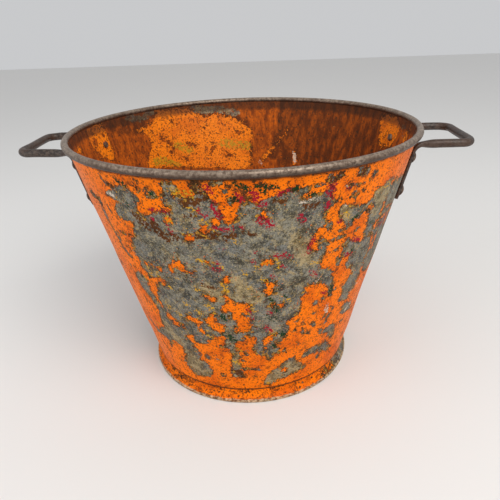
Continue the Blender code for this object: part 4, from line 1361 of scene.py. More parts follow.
def film_group():
    """Top coat of paint: tone changes, dirt in its pits, a painted sheen where Fade is given, and a brushed
    surface.
    """
    g, given, made = new_group(
        "paint_film",
        (
            ("Place", VECTOR, None), ("Paint", COLOUR, (0.8, 0.15, 0.01, 1.0)), ("Dirt", FLOAT, 0.4),
            ("Fade", FLOAT, 0.0),
        ),
        (("Color", COLOUR), ("Roughness", FLOAT), ("Height", FLOAT)),
    )
    place = given["Place"]
    broad = g.noise(place, 30.0, 4.0, 0.6)
    close = g.noise(g.move(place, (7.0, 17.0, 27.0)), 4.5, 6.0, 0.72)
    deep = g.blend(0.40, given["Paint"], FILM_DEEP)
    bright = g.blend(0.28, given["Paint"], FILM_BRIGHT)
    tone = g.blend(g.rise(broad, 0.34, 0.56), deep, bright)
    tone = g.blend(g.times(g.rise(close, 0.52, 0.68), 0.45), tone, FILM_WORN)
    # Painted sheen: the Fade input paints the sides paler and pinker
    sheen_tone = g.blend(g.rise(close, 0.38, 0.62), SHEEN_DEEP, SHEEN_BRIGHT)
    tone = g.blend(g.times(given["Fade"], g.rise(broad, 0.34, 0.52)), tone, sheen_tone)
    soil = g.noise(g.move(place, (23.0, 5.0, 11.0)), 9.0, 8.0, 0.76)
    grime = g.times(g.rise(g.plus(soil, g.times(given["Dirt"], 0.12)), 0.57, 0.70), 0.75)
    tone = g.blend(grime, tone, GRIME)
    pits = g.rise(g.noise(g.move(place, (9.0, 1.0, 37.0)), 2.1, 3.0, 0.6), 0.605, 0.62)
    tone = g.blend(g.times(pits, 0.92), tone, PIT)
    pocked = g.less(g.times(close, 0.10), g.times(pits, 0.12))
    g.feed(made["Color"], tone)
    g.feed(made["Roughness"], g.between(close, 0.42, 0.68))
    g.feed(made["Height"], pocked)
    return g.tree


def rust_group():
    """Rust crust: brown tones with a grainy height."""
    g, given, made = new_group(
        "rust_crust",
        (("Place", VECTOR, None), ("Rust", COLOUR, (0.12, 0.04, 0.02, 1.0)), ("Fresh", FLOAT, 0.3)),
        (("Color", COLOUR), ("Height", FLOAT)),
    )
    place = given["Place"]
    body = g.noise(place, 6.0, 7.0, 0.76)
    grain = g.noise(g.move(place, (19.0, 3.0, 8.0)), 1.5, 4.0, 0.7)
    tone = g.blend(g.rise(body, 0.36, 0.60), g.blend(0.6, given["Rust"], RUST_DARK), given["Rust"])
    fresh = g.times(g.rise(grain, 0.50, 0.64), given["Fresh"])
    tone = g.blend(fresh, tone, RUST_FRESH)
    g.feed(made["Color"], tone)
    g.feed(made["Height"], g.plus(g.times(body, 0.18), g.times(grain, 0.16)))
    return g.tree


def speckle_group():
    """Clustered specks whose cover grows with a share from 0 to 1."""
    g, given, made = new_group(
        "clustered_specks",
        (
            ("Place", VECTOR, None), ("Share", FLOAT, 0.0), ("Size", FLOAT, 2.0), ("Rarity", FLOAT, 0.66),
            ("Gain", FLOAT, 0.2),
        ),
        (("Mask", FLOAT),),
    )
    scale = g.math("DIVIDE", 1.0, given["Size"])
    inputs = {"Vector": given["Place"], "Scale": scale, "Detail": 4.0, "Roughness": 0.66}
    node = g.add("ShaderNodeTexNoise", inputs)
    level = g.plus(node.outputs["Fac"], g.times(given["Share"], given["Gain"]))
    g.feed(made["Mask"], g.rise(g.less(level, given["Rarity"]), 0.0, 0.03))
    return g.tree


# Materials


def new_material(name, specular=0.5):
    """An empty Principled material with its graph and shader."""
    made = bpy.data.materials.new(name)
    made.use_nodes = True
    tree = made.node_tree
    shader = tree.nodes["Principled BSDF"]
    shader.inputs["Specular IOR Level"].default_value = specular
    return made, Graph(tree), shader


def bump(g, shader, height):
    """Height in millimetres as the shader's normal."""
    node = g.add("ShaderNodeBump", {"Strength": 1.0, "Distance": MM, "Height": height})
    g.feed(shader.inputs["Normal"], node.outputs[0])


def height_share(g, place, low, high, wobble):
    """Share from 0 to 1 between two heights in millimetres, with a wavy edge."""
    height = g.add("ShaderNodeSeparateXYZ", {0: place}).outputs["Z"]
    wave = g.less(g.noise(g.move(place, (9.0, 9.0, 2.0)), 9.0, 5.0, 0.7), 0.5)
    return g.rise(g.plus(height, g.times(wave, wobble * 2)), low, high)


def painted_metal(
    name, colours, metal, older_width=3.0, chips=0.60, dirt=0.4, tarnish=0.5, dirt_and_shade_bands=(), rubbed=()
):
    """Chipped orange paint over older coats, zinc and rust, darkened by dirt and painted shade and rubbed in
    bands of height.
    """
    made, g, shader = new_material(name, 0.10)
    place = g.place()
    wear = g.attribute("bare")["Fac"]
    hints = g.attribute("hints")
    chalk_hint = g.attribute("chalk")["Fac"]
    crimson_hint, yellow_hint, green_hint = g.channels(hints["Color"])
    coats = g.group(
        "chipped_coats", chipped_coats_group, place=place, bare=wear, older_width=older_width, chips=chips,
    )
    stain = g.attribute("stain")["Fac"]
    zinc = g.group("weathered_zinc", zinc_group, place=place, metal=metal, tarnish=g.plus(stain, tarnish))
    # Painted sheen on the sides, carried by the fade attribute
    fade = g.attribute("fade")["Fac"]
    film = g.group("paint_film", film_group, place=place, paint=tuple(colours.orange), dirt=dirt, fade=fade)
    crust = g.group("rust_crust", rust_group, place=place, rust=tuple(colours.rust), fresh=0.25)

    rust_hint = hints["Alpha"]
    far = g.times(g.rise(coats["Away"], 2.0, 24.0), -0.35)
    rusty = g.specks(place, rust_hint, 3.2, 0.66, 0.225, (4.0, 4.0, 74.0))
    yellow = g.specks(place, g.plus(yellow_hint, far), 2.0, 0.64, 0.15, (14.0, 38.0, 6.0))
    crimson = g.specks(place, g.plus(crimson_hint, far), 2.1, 0.655, 0.20, (61.0, 8.0, 1.0))
    green = g.specks(place, g.plus(green_hint, far), 2.1, 0.67, 0.225, (2.0, 8.0, 51.0))
    chalk = g.specks(place, chalk_hint, 1.8, 0.75, 0.30, (7.0, 77.0, 5.0))

    colour = g.blend(rusty, zinc["Color"], crust["Color"])
    second = g.noise(g.move(place, (61.0, 58.0, 1.0)), 3.6, 4.0, 0.62)
    old = g.blend(g.rise(second, 0.47, 0.53), OLD_COAT_DARK, OLD_COAT_LIGHT)
    old = g.blend(g.rise(second, 0.60, 0.63), old, tuple(colours.yellow))
    colour = g.blend(coats["Older"], colour, old)
    colour = g.blend(g.times(coats["Chip"], 0.9), colour, CHIP_BROWN)
    for mask, tone in (
        (yellow, tuple(colours.yellow)), (crimson, tuple(colours.crimson)), (green, tuple(colours.green)),
        (chalk, PRIMER),
    ):
        colour = g.blend(mask, colour, tone)
    ragged = g.rise(g.noise(g.move(place, (1.0, 5.0, 9.0)), 3.0, 3.0, 0.6), 0.36, 0.50)
    shadow = g.times(g.times(coats["Edge"], ragged), g.without(coats["Paint"]))
    colour = g.blend(g.times(shadow, 0.85), colour, EDGE_SHADOW)
    cut = g.times(yellow, g.rise(yellow_hint, 0.2, 0.6))
    for mask, hint in (
        (crimson, crimson_hint), (green, green_hint), (rusty, rust_hint), (chalk, chalk_hint),
    ):
        cut = g.most(cut, g.times(mask, g.rise(hint, 0.1, 0.5)))
    paint = g.times(coats["Paint"], g.without(cut))
    colour = g.blend(paint, colour, film["Color"])
    rough = g.between(rusty, zinc["Roughness"], 0.85)
    rough = g.between(paint, rough, film["Roughness"])
    metallic = g.times(g.without(rusty), g.without(paint))
    base = g.between(rusty, zinc["Height"], crust["Height"])
    base = g.plus(base, g.times(coats["Older"], 0.15))
    height = g.between(paint, base, g.plus(film["Height"], 0.45))
    # Dirt and painted shade in bands of height: the crease over the foot, the foot's top under the lip, and
    # the wall under the rim
    for low, high, wobble in dirt_and_shade_bands:
        dirt_and_shade = g.times(height_share(g, place, low, high, wobble), 0.88)
        colour = g.blend(dirt_and_shade, colour, g.blend(second, SOIL_AND_SHADE_DARK, SOIL_AND_SHADE_LIGHT))
        metallic = g.times(metallic, g.without(dirt_and_shade))
    if rubbed:
        rub = g.times(height_share(g, place, *rubbed), 0.9)
        worn = g.blend(g.rise(second, 0.36, 0.60), RUB_DARK, RUB_LIGHT)
        colour = g.blend(rub, colour, worn)
        metallic = g.most(metallic, g.times(rub, 0.5))
    g.feed(shader.inputs["Base Color"], colour)
    g.feed(shader.inputs["Roughness"], rough)
    g.feed(shader.inputs["Metallic"], g.times(metallic, 0.30))
    bump(g, shader, height)
    return made


def inside_material(name, colours):
    """Inside of the bucket: rusty worn paint with runs, darkened by painted shade under the rim and down the
    sides, and bright paint where it is still whole.
    """
    made, g, shader = new_material(name, 0.2)
    place = g.place()
    wear = g.attribute("bare")["Fac"]
    hints = g.attribute("hints")
    chalk_hint = g.attribute("chalk")["Fac"]
    _, yellow_hint, green_hint = g.channels(hints["Color"])
    coats = g.group(
        "chipped_coats", chipped_coats_group, place=place, bare=wear, wander=8.0, fray=8.0,
        flake=3.0, older_width=2.0, chips=0.585, flecks=0.64,
    )
    film = g.group("paint_film", film_group, place=place, paint=INSIDE_ORANGE, dirt=0.3)
    crust = g.group("rust_crust", rust_group, place=place, rust=tuple(colours.rust), fresh=0.5)
    zinc = g.group("weathered_zinc", zinc_group, place=place, metal=tuple(colours.metal), tarnish=1.0)

    runs = g.noise(g.move(place, (0.0, 0.0, 3.0), (1.0, 1.0, 0.25)), 7.0, 6.0, 0.68)
    thin = g.noise(g.move(place, (8.0, 2.0, 9.0), (1.0, 1.0, 0.3)), 2.2, 5.0, 0.7)
    worn = g.blend(g.rise(runs, 0.32, 0.66), RUN_DARK, RUN_LIGHT)
    worn = g.blend(g.times(g.rise(thin, 0.46, 0.64), 0.5), worn, GRIME)
    # Painted shade under the rim and down the sides, with rust at the small spots, from the inside rust hints
    shade = g.times(hints["Alpha"], g.between(g.rise(runs, 0.40, 0.60), 0.85, 0.5))
    worn = g.blend(shade, worn, INSIDE_SHADE)
    spots = g.specks(place, 0.5, 3.4, 0.70, 0.2, (6.0, 6.0, 1.0))
    worn = g.blend(g.times(spots, 0.6), worn, crust["Color"])
    fine = g.specks(place, 0.5, 1.6, 0.70, 0.12, (16.0, 6.0, 31.0))
    worn = g.blend(g.times(fine, 0.7), worn, INSIDE_SPECK)
    stripped = g.specks(place, green_hint, 4.5, 0.70, 0.30, (4.0, 4.0, 74.0))
    colour = g.blend(g.times(stripped, 0.85), worn, zinc["Color"])
    # Dark line along the edges of the paint, a painted shadow of its thickness, and dark chips within the
    # paint
    colour = g.blend(g.times(g.most(coats["Edge"], coats["Chip"]), 0.75), colour, INSIDE_EDGE)
    yellow = g.specks(place, yellow_hint, 3.0, 0.68, 0.22, (24.0, 8.0, 3.0))
    tone = g.blend(yellow, film["Color"], INSIDE_YELLOW)
    colour = g.blend(coats["Paint"], colour, tone)
    holes = g.specks(place, 0.5, 3.4, 0.695, 0.2, (3.0, 31.0, 12.0))
    colour = g.blend(g.times(holes, 0.9), colour, INSIDE_HOLE)
    chalk = g.specks(place, chalk_hint, 1.8, 0.75, 0.36, (7.0, 77.0, 5.0))
    colour = g.blend(chalk, colour, INSIDE_PRIMER)
    # Dirt and painted shade on the inside wall just under the rim
    rim_dirt_and_shade = g.times(height_share(g, place, *INSIDE_SOIL_AND_SHADE), 0.7)
    colour = g.blend(rim_dirt_and_shade, colour, INSIDE_GRIME_AND_SHADE)
    g.feed(shader.inputs["Base Color"], colour)
    g.feed(shader.inputs["Roughness"], g.between(coats["Paint"], 0.75, film["Roughness"]))
    base = g.plus(crust["Height"], g.times(runs, 0.1))
    bump(g, shader, g.between(coats["Paint"], base, g.plus(film["Height"], 0.40)))
    return made


def steel_material(
    name, colours, rust_share=0.45, paint_share=0.0, shine=0.5, dull=0.62, light=0.4, spread=0.10,
    deep=0.0, crest=None,
):
    """Handled dark steel with rust in its pits; on a crest between two heights in millimetres it is painted
    paler, as wear and a painted highlight, with painted shade below.
    """
    made, g, shader = new_material(name, 0.4)
    place = g.place()
    crust = g.group("rust_crust", rust_group, place=place, rust=tuple(colours.rust), fresh=0.3)
    film = g.group("paint_film", film_group, place=place, paint=tuple(colours.orange), dirt=0.5)
    clouds = g.noise(place, 17.0, 5.0, 0.66)
    close = g.noise(g.move(place, (5.0, 12.0, 3.0)), 3.0, 7.0, 0.76)
    steel = g.blend(deep, tuple(colours.steel), STEEL_DEEP)
    dark, pale = g.blend(0.6, steel, STEEL_DARK), g.blend(light, steel, STEEL_PALE)
    tone = g.blend(g.rise(close, 0.5 - spread, 0.5 + spread), dark, pale)
    tone = g.blend(g.times(g.rise(clouds, 0.42, 0.60), 0.6), tone, STEEL_BROWN)
    if crest:
        # The crest is painted paler, as wear and a painted highlight, and the roll below it is darker as
        # painted shade
        rubbed = height_share(g, place, crest[0], crest[1], 1.5)
        worn = g.blend(g.rise(close, 0.34, 0.66), CREST_DARK, CREST_LIGHT)
        tone = g.blend(g.times(rubbed, 0.5), tone, worn)
        under = height_share(g, place, crest[0] + 1.0, crest[0] - 2.0, 1.0)
        tone = g.blend(g.times(under, 0.8), tone, STEEL_UNDERSIDE_SHADE)
    rusty = g.noise(g.move(place, (3.0, 2.0, 9.0)), 6.0, 7.0, 0.76)
    rusty = g.rise(rusty, 0.72 - 0.30 * rust_share, 0.78 - 0.26 * rust_share)
    tone = g.blend(g.times(rusty, 0.85), tone, crust["Color"])
    left = g.noise(g.move(place, (33.0, 2.0, 9.0)), 9.0, 6.0, 0.7)
    left = g.rise(left, 0.78 - 0.3 * paint_share, 0.79 - 0.3 * paint_share)
    tone = g.blend(left, tone, film["Color"])
    g.feed(shader.inputs["Base Color"], tone)
    bare = g.times(g.without(rusty), g.without(left))
    g.feed(shader.inputs["Metallic"], g.times(bare, shine))
    g.feed(shader.inputs["Roughness"], g.between(rusty, g.between(close, dull - 0.24, dull), 0.84))
    pits = g.rise(g.noise(g.move(place, (1.0, 7.0, 2.0)), 1.7, 4.0, 0.66), 0.58, 0.66)
    height = g.plus(g.times(close, 0.14), g.times(crust["Height"], rusty))
    height = g.less(height, g.times(pits, 0.14))
    bump(g, shader, g.plus(height, g.times(left, 0.2)))
    return made


def plain_floor_material(colour):
    """Plain pale floor."""
    made, _, shader = new_material("stage_floor")
    shader.inputs["Base Color"].default_value = (*colour, 1.0)
    shader.inputs["Roughness"].default_value = 0.9
    return made


# Pieces


class BUCKET_OT_body(bpy.types.Operator):
    """Turn the tapered body with its rolled rim, lap its sheet and lay its worn paint"""

    bl_idname = "bucket.body"
    bl_label = "Turn the Body"

    def execute(self, context):
        sheet, colours = context.scene.bucket_sheet, context.scene.bucket_colours
        outside = painted_metal("outside_paint", colours, tuple(colours.metal), dirt_and_shade_bands=BODY_SOIL_AND_SHADE)
        inside = inside_material("inside_wear", colours)
        rim = steel_material(
            "rim_steel", colours, rust_share=0.2, paint_share=0.1, spread=0.14, dull=0.54, crest=RIM_CREST
        )
        outline, last_inner, first_outer = body_outline(sheet.inner_row, sheet.outer_row)
        item = turn_profile(
            "bucket_body", outline, outside, columns=sheet.front_columns + sheet.back_columns,
            fine_columns=sheet.front_columns, fine_sweep=FRONT_SWEEP, start_angle=FRONT_START,
            dent_depth=sheet.dent_depth, dent_size=sheet.dent_size, dent_from=DENT_FROM, dent_to=DENT_TO,
            dent_fade=DENT_FADE, clear_above=DENT_FREE_STRAPS_FROM,
            clear_half_width=DENT_FREE_STRAPS_HALF_WIDTH, seed=4.0,
        )
        mesh = item.data
        rows = np.empty(len(mesh.vertices), dtype=np.int32)
        mesh.attributes["row"].data.foreach_get("value", rows)
        lap_sheet(mesh, rows, last_inner)
        lay_paint(mesh, rows >= first_outer)
        corners = np.empty(len(mesh.polygons) * 4, dtype=np.int32)
        mesh.polygons.foreach_get("vertices", corners)
        face_rows = rows[corners].reshape(-1, 4)
        low, high = face_rows.min(axis=1), face_rows.max(axis=1)
        places = np.zeros(len(mesh.polygons), dtype=np.int32)
        places[high <= last_inner] = 1
        places[(low >= last_inner) & (high <= first_outer)] = 2
        set_finishes(mesh, outside, inside, rim, places=places)
        mesh.attributes.remove(mesh.attributes["row"])
        settle(item, "painted_sheet", "body")
        return {"FINISHED"}


def rivet_heights(strap_length):
    """Heights of the upper and the lower rivet."""
    lower = HANDLE_HEIGHT - (strap_length - LOWER_RIVET_INSET) * math.cos(WALL_LEAN)
    return HANDLE_HEIGHT - UPPER_RIVET_DROP, lower


def lap_angle():
    """Angle that the lapped end of the sheet covers."""
    return LAP_WIDTH / wall_inner(sum(rivet_heights(STRAP_LENGTH)) / 2)


def lap_sheet(mesh, rows, last_inner):
    """Move the inner face in by one sheet where the body's end laps over, with a crisp edge all round."""
    spots = mesh_points(mesh)
    radius = np.hypot(spots[:, 0], spots[:, 1])
    start = math.radians(180.0 - LEG_ANGLE) - lap_angle() / 2
    turned = (np.arctan2(spots[:, 1], spots[:, 0]) - start) % (2 * math.pi)
    bottom = FLOOR_HEIGHT + FLOOR_FLANGE + LAP_STOP
    top = WALL_TOP_HEIGHT - LAP_STOP
    covered = (rows <= last_inner) & (turned < lap_angle() + LAP_ROUNDING)
    covered &= (spots[:, 2] > bottom) & (spots[:, 2] < top)
    radius -= np.where(covered, WALL_PROUD, 0.0)
    angle = turned + start
    spots[:, 0] = radius * np.cos(angle)
    spots[:, 1] = radius * np.sin(angle)
    mesh.vertices.foreach_set("co", spots.ravel())
    mesh.update()


class BUCKET_OT_floor(bpy.types.Operator):
    """Turn the dished floor inside the bucket"""

    bl_idname = "bucket.floor"
    bl_label = "Turn the Floor"

    def execute(self, context):
        sheet, colours = context.scene.bucket_sheet, context.scene.bucket_colours
        finish = inside_material("floor_wear", colours)
        item = turn_profile(
            "bucket_floor", sheet_outline(floor_line(sheet.inner_row), FLOOR_SHEET), finish, closed=False,
            columns=180, seed=9.0,
        )
        points = mesh_points(item.data) / MM
        item.data.attributes.remove(item.data.attributes["row"])
        bare = 12.0 + 26.0 * drift(points, 48.0, 21)
        store_wear(item.data, bare, wild_hints(points, 22.0, 0.4, 22))
        settle(item, "floor_sheet", "bottom_disc")
        return {"FINISHED"}


class BUCKET_OT_foot(bpy.types.Operator):
    """Turn the flared foot ring with its rolled edge"""

    bl_idname = "bucket.foot"
    bl_label = "Turn the Foot Ring"

    def execute(self, context):
        colours = context.scene.bucket_colours
        finish = painted_metal(
            "foot_paint", colours, FOOT_METAL, older_width=4.0, chips=0.57, dirt=0.8, tarnish=0.7,
            dirt_and_shade_bands=FOOT_SOIL_AND_SHADE, rubbed=FOOT_RUB,
        )
        outline = sheet_outline(foot_line(), FOOT_SHEET)
        item = turn_profile("foot_band", outline, finish, columns=300, seed=5.0)
        mesh = item.data
        spots = mesh_points(mesh)
        azimuth = np.degrees(np.arctan2(spots[:, 1], spots[:, 0]))
        inside = (azimuth > FOOT_BARE_FROM) & (azimuth < FOOT_BARE_TO)
        away = np.minimum(np.abs(azimuth - FOOT_BARE_FROM), np.abs(azimuth - FOOT_BARE_TO))
        bare = np.where(inside, away, -away) * FOOT_MM_PER_DEGREE
        bare = np.clip(bare, -9.0, 9.0) + 12.0 * drift(spots / MM, 30.0, 31)
        mesh.attributes.remove(mesh.attributes["row"])
        hints = np.zeros((len(spots), 4))
        hints[:, RUST] = np.clip(1.8 * drift(spots / MM, 12.0, 32) - 0.1, 0.0, 1.0)
        store_wear(mesh, bare, hints)
        settle(item, "foot_sheet", "foot_ring")
        return {"FINISHED"}


def rounded_path(corners, bends, steps):
    """Points and tangents of a polyline whose inner corners are arcs."""
    path = [(corners[0], (corners[1] - corners[0]).normalized())]
    for place, bend in enumerate(bends):
        before, here, after = corners[place : place + 3]
        into = (here - before).normalized()
        out = (after - here).normalized()
        turn = into.angle(out)
        back = bend * math.tan(turn / 2)
        side = (out - into * into.dot(out)).normalized()
        for step in range(steps[place] + 1):
            angle = turn * step / steps[place]
            along = bend * math.sin(angle) - back
            aside = bend * (1.0 - math.cos(angle))
            path.append((here + into * along + side * aside, into * math.cos(angle) + side * math.sin(angle)))
    path.append((corners[-1], (corners[-1] - corners[-2]).normalized()))
    return path


def handle_stations(sizes):
    """Half of a handle's centre line: spot, tangent and length from the strap's tip to the grip's middle."""
    azimuth = math.radians(LEG_ANGLE)
    proud = CLEARANCE + sizes.strap_thickness / 2
    knee = wall_point(azimuth, HANDLE_HEIGHT + proud * math.sin(WALL_LEAN), proud)
    tip = knee - wall_up(azimuth) * sizes.strap_length
    grip = HANDLE_REACH - sizes.rod_diameter / 2
    corner = Vector((grip, GRIP_HALF_WIDTH, HANDLE_HEIGHT))
    middle = Vector((grip, 0.0, HANDLE_HEIGHT))
    bent = rounded_path(
        [tip, knee, corner, middle], [LEG_BEND, GRIP_BEND], [LEG_BEND_STEPS, GRIP_BEND_STEPS]
    )
    dense = []
    for here, there in zip(bent, bent[1:]):
        gap = (there[0] - here[0]).length
        steps = max(1, math.ceil(gap / STATION_GAP))
        for step in range(steps):
            share = step / steps
            dense.append((here[0].lerp(there[0], share), here[1].lerp(there[1], share).normalized()))
    dense.append(bent[-1])
    up = dense[0][1]
    half = sizes.strap_width / 2
    tips = [half * (1.0 - math.cos(math.radians(angle))) for angle in STRAP_TIP_ANGLES]
    stations = [(tip + up * along, up) for along in tips]
    stations += [pair for pair in dense if (pair[0] - tip).length > half * TIP_CLEAR]
    lengths = [tips[0]]
    for here, there in zip(stations, stations[1:]):
        lengths.append(lengths[-1] + (there[0] - here[0]).length)
    bend_start = (bent[1][0] - tip).length
    bend = bent[1 : 2 + LEG_BEND_STEPS]
    bend_end = bend_start + sum((there[0] - here[0]).length for here, there in zip(bend, bend[1:]))
    return stations, lengths, bend_start, bend_end


def section_point(width, thickness, power, angle):
    """Point on a section that is round at power 2 and squarer at a higher power."""
    across, through, share = math.cos(angle), math.sin(angle), 2.0 / power
    wide = math.copysign(abs(across) ** share, across)
    thick = math.copysign(abs(through) ** share, through)
    return wide * width / 2, thick * thickness / 2


def handle_item(name, sizes, turn, seed, finish):
    """One forged handle: straps, knees, arms and grip in one closed loft."""
    stations, lengths, bend_start, bend_end = handle_stations(sizes)
    forge_end = bend_end + FORGE_RUN
    half = sizes.strap_width / 2
    facing = wall_normal(math.radians(LEG_ANGLE))
    rings = []
    for (spot, tangent), along in zip(stations, lengths):
        facing = (facing - tangent * facing.dot(tangent)).normalized()
        share = min(max((along - bend_start) / (forge_end - bend_start), 0.0), 1.0)
        share = share * share * (3.0 - 2.0 * share)
        width = sizes.strap_width + (sizes.rod_diameter - sizes.strap_width) * share
        if along < half:
            width *= math.sqrt(max(0.0, 1.0 - (1.0 - along / half) ** 2))
        thickness = sizes.strap_thickness + (sizes.rod_diameter - sizes.strap_thickness) * share
        power = STRAP_SQUARENESS + (2.0 - STRAP_SQUARENESS) * share
        rings.append((spot, tangent.cross(facing), facing.copy(), width, thickness, power, share))
    mirrored = []
    for spot, side, face, width, thickness, power, share in reversed(rings[:-1]):
        flip = Vector((1.0, -1.0, 1.0))
        mirrored.append((spot * flip, side * flip, face * flip, width, thickness, power, share))
    shape = bmesh.new()
    made_rings = []
    for place, (spot, side, face, width, thickness, power, share) in enumerate(rings + mirrored):
        aside = noise.noise(Vector((place * 0.11, seed, 1.0))) * share * HAMMER_WANDER
        outward = noise.noise(Vector((place * 0.09, seed, 9.0))) * share * HAMMER_WANDER
        spot = spot + side * aside + face * outward
        width *= 1.0 + HAMMER_WIDTH * noise.noise(Vector((place * 0.16, seed, 5.0)))
        thickness *= 1.0 + HAMMER_THICKNESS * noise.noise(Vector((place * 0.21, seed, 7.0))) * share
        ring = []
        for step in range(HANDLE_SIDES):
            angle = 2 * math.pi * (step + 0.5) / HANDLE_SIDES
            wide, thick = section_point(width, thickness, power, angle)
            ring.append(shape.verts.new(spot + side * wide + face * thick))
        made_rings.append(ring)
    for first, second in zip(made_rings, made_rings[1:]):
        for place in range(HANDLE_SIDES):
            following = (place + 1) % HANDLE_SIDES
            shape.faces.new((first[place], first[following], second[following], second[place]))
    shape.faces.new(list(reversed(made_rings[0])))
    shape.faces.new(made_rings[-1])
    bmesh.ops.rotate(shape, verts=shape.verts, cent=(0.0, 0.0, 0.0), matrix=Matrix.Rotation(turn, 3, "Z"))
    mesh = bpy.data.meshes.new(name)
    shape.to_mesh(mesh)
    shape.free()
    mesh.materials.append(finish)
    item = bpy.data.objects.new(name, mesh)
    bpy.context.scene.collection.objects.link(item)
    face_outward(mesh, sharp=50.0)
    return item


class BUCKET_OT_handles(bpy.types.Operator):
    """Forge the two handles"""

    bl_idname = "bucket.handles"
    bl_label = "Forge the Handles"

    def execute(self, context):
        sizes, colours = context.scene.bucket_handles, context.scene.bucket_colours
        finish = steel_material(
            "handle_steel", colours, rust_share=0.32, paint_share=0.1, shine=0.1, dull=0.56, light=0.12,
            spread=0.06, deep=1.0,
        )
        for name, turn, seed in (("right_grip", 0.0, 3.0), ("left_grip", math.pi, 8.0)):
            item = handle_item(name, sizes, turn, seed, finish)
            settle(item, "handle_rod", name.replace("grip", "handle"))
        return {"FINISHED"}


def rivet_profile(sizes, layers):
    """Half section of one rivet, from the top of its head to the middle of its tail."""
    shank = RIVET_DIAMETER / 2
    head, tail = sizes.head_diameter / 2, sizes.tail_diameter / 2
    base = sizes.strap_thickness + 2 * CLEARANCE
    tail_base = -layers * BODY_SHEET - CLEARANCE
    dome = (head**2 + sizes.head_height**2) / (2 * sizes.head_height)
    centre = (0.0, base + sizes.head_height - dome)
    edge = math.degrees(math.atan2(base - centre[1], head))
    tail_end = tail_base - sizes.tail_height
    return arc(centre, dome, 90.0, edge + 4.0, 9) + [
        (head, base + HEAD_EDGE), (head - HEAD_UNDERCUT, base), (shank, base), (shank, tail_base),
        (tail, tail_base), (tail, tail_end + TAIL_SIDE), (tail - TAIL_EDGE, tail_end + TAIL_EDGE),
        (tail - TAIL_FACE, tail_end), (0.0, tail_end),
    ]


class BUCKET_OT_rivets(bpy.types.Operator):
    """Set two rivets through each strap, longer ones where the sheet laps"""

    bl_idname = "bucket.rivets"
    bl_label = "Set the Rivets"

    def execute(self, context):
        sizes, colours = context.scene.bucket_handles, context.scene.bucket_colours
        finish = steel_material(
            "rivet_steel", colours, rust_share=0.8, paint_share=0.45, shine=0.35, dull=0.7
        )
        leg = math.radians(LEG_ANGLE)
        legs = {
            "right_front": -leg, "right_back": leg, "left_front": math.pi + leg, "left_back": math.pi - leg,
        }
        upper, lower = rivet_heights(sizes.strap_length)
        for name, layers, chosen in (
            ("rivets", 1, ("right_front", "right_back", "left_front")), ("lap_rivets", 2, ("left_back",)),
        ):
            section = rivet_profile(sizes, layers)
            pattern = turn_profile("rivet_pattern", section, finish, closed=False, columns=28)
            mesh = bpy.data.meshes.new(name)
            spots, facings, nodes = [], [], []
            for side in chosen:
                for level, height in (("upper", upper), ("lower", lower)):
                    spots.append(wall_point(legs[side], height))
                    facings.extend(wall_normal(legs[side]))
                    nodes.append(f"{side}_{level}_rivet")
            mesh.from_pydata(spots, [], [])
            mesh.attributes.new("facing", "FLOAT_VECTOR", "POINT").data.foreach_set("vector", facings)
            item = bpy.data.objects.new(name, mesh)
            bpy.context.scene.collection.objects.link(item)
            run_tree(
                item, named_tree("set_rivets", rivet_tree), rivet=pattern, size_change=RIVET_CHANGE,
                seed=3 + layers, finish=finish,
            )
            bpy.data.objects.remove(pattern)
            for extra in ("facing", "row"):
                if extra in item.data.attributes:
                    item.data.attributes.remove(item.data.attributes[extra])
            face_outward(item.data, sharp=40.0)
            set_finishes(item.data, finish)
            settle(item, "rivet_steel", *nodes)
        return {"FINISHED"}


class BUCKET_OT_wire(bpy.types.Operator):
    """Give the wire inside the rolled rim its steel finish"""

    bl_idname = "bucket.wire"
    bl_label = "Finish the Rim Wire"

    def execute(self, context):
        finish = steel_material("wire_steel", context.scene.bucket_colours, rust_share=0.7)
        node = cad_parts["rim_wire"]
        for slot in node.material_slots:
            slot.material = finish
        return {"FINISHED"}


def soft_light(name, place, size, power, colour):
    """A square area light, turned towards the bucket."""
    data = bpy.data.lights.new(name, "AREA")
    data.shape = "SQUARE"
    data.size = size
    data.energy = power
    data.color = colour
    item = bpy.data.objects.new(name, data)
    bpy.context.scene.collection.objects.link(item)
    item.location = place
    item.rotation_euler = (Vector(LIGHT_TARGET) - item.location).to_track_quat("-Z", "Y").to_euler()


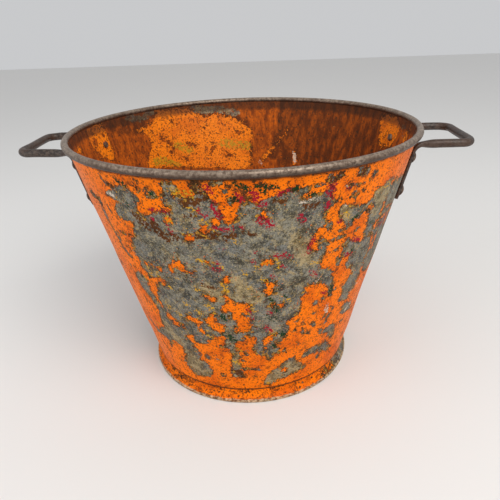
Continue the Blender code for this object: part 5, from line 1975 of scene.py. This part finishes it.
class BUCKET_OT_stage(bpy.types.Operator):
    """Set the pale floor, the soft lights and the photograph's camera"""

    bl_idname = "bucket.stage"
    bl_label = "Set the Stage"

    def execute(self, context):
        scene, stage = context.scene, context.scene.bucket_stage
        half = stage.floor_size / 2
        mesh = bpy.data.meshes.new("stage_floor")
        corners = [(-half, -half, 0.0), (half, -half, 0.0), (half, half, 0.0), (-half, half, 0.0)]
        mesh.from_pydata(corners, [], [(0, 1, 2, 3)])
        mesh.materials.append(plain_floor_material(tuple(stage.floor_colour)))
        floor = bpy.data.objects.new("stage_floor", mesh)
        scene.collection.objects.link(floor)
        soft_light("key_light", KEY_PLACE, KEY_SIZE, stage.key_power, KEY_COLOUR)
        soft_light("fill_light", FILL_PLACE, FILL_SIZE, stage.fill_power, FILL_COLOUR)
        world = bpy.data.worlds.new("studio")
        world.use_nodes = True
        sky = world.node_tree.nodes["Background"]
        sky.inputs["Color"].default_value = SKY_COLOUR
        sky.inputs["Strength"].default_value = stage.sky
        scene.world = world
        scene.view_settings.view_transform = "Standard"

        data = bpy.data.cameras.new("camera")
        data.sensor_fit = "HORIZONTAL"
        data.sensor_width = SENSOR
        data.lens = SENSOR * FOCAL_PIXELS / FRAME_PIXELS
        data.shift_x = (FRAME_PIXELS / 2 - CENTRE_PIXEL[0]) / FRAME_PIXELS
        data.shift_y = (CENTRE_PIXEL[1] - FRAME_PIXELS / 2) / FRAME_PIXELS
        camera = bpy.data.objects.new("camera", data)
        scene.collection.objects.link(camera)
        right, up, forward = view_axes()
        turn = Matrix((right, up, -forward)).transposed().to_4x4()
        camera.matrix_world = Matrix.Translation(CAMERA_PLACE) @ turn
        scene.camera = camera
        return {"FINISHED"}


class BUCKET_PT_pieces(bpy.types.Panel):
    """The bucket's pieces and settings"""

    bl_label = "Rusty Metal Bucket"
    bl_idname = "BUCKET_PT_pieces"
    bl_space_type = "VIEW_3D"
    bl_region_type = "UI"
    bl_category = "Bucket"

    def draw(self, context):
        layout = self.layout
        for piece in PIECES:
            layout.operator(piece.bl_idname)
        for name in SETTINGS:
            group = getattr(context.scene, name)
            box = layout.box()
            for key in group.bl_rna.properties.keys():
                if key not in {"rna_type", "name"}:
                    box.prop(group, key)


PIECES = (
    BUCKET_OT_body, BUCKET_OT_floor, BUCKET_OT_foot, BUCKET_OT_handles, BUCKET_OT_rivets, BUCKET_OT_wire,
    BUCKET_OT_stage,
)
SETTINGS = {
    "bucket_sheet": BucketSheetSettings,
    "bucket_handles": BucketHandleSettings,
    "bucket_colours": BucketColourSettings,
    "bucket_stage": BucketStageSettings,
}


def register():
    """Add the settings, the operators and the panel."""
    for name, group in SETTINGS.items():
        bpy.utils.register_class(group)
        setattr(bpy.types.Scene, name, PointerProperty(type=group))
    for piece in (*PIECES, BUCKET_PT_pieces):
        bpy.utils.register_class(piece)


def unregister():
    """Take them away again."""
    for piece in reversed((*PIECES, BUCKET_PT_pieces)):
        bpy.utils.unregister_class(piece)
    for name, group in SETTINGS.items():
        delattr(bpy.types.Scene, name)
        bpy.utils.unregister_class(group)


def main():
    """Build every piece in turn."""
    register()
    bpy.ops.bucket.stage()
    bpy.ops.bucket.body()
    bpy.ops.bucket.floor()
    bpy.ops.bucket.foot()
    bpy.ops.bucket.handles()
    bpy.ops.bucket.rivets()
    bpy.ops.bucket.wire()


if __name__ == "__main__":
    main()
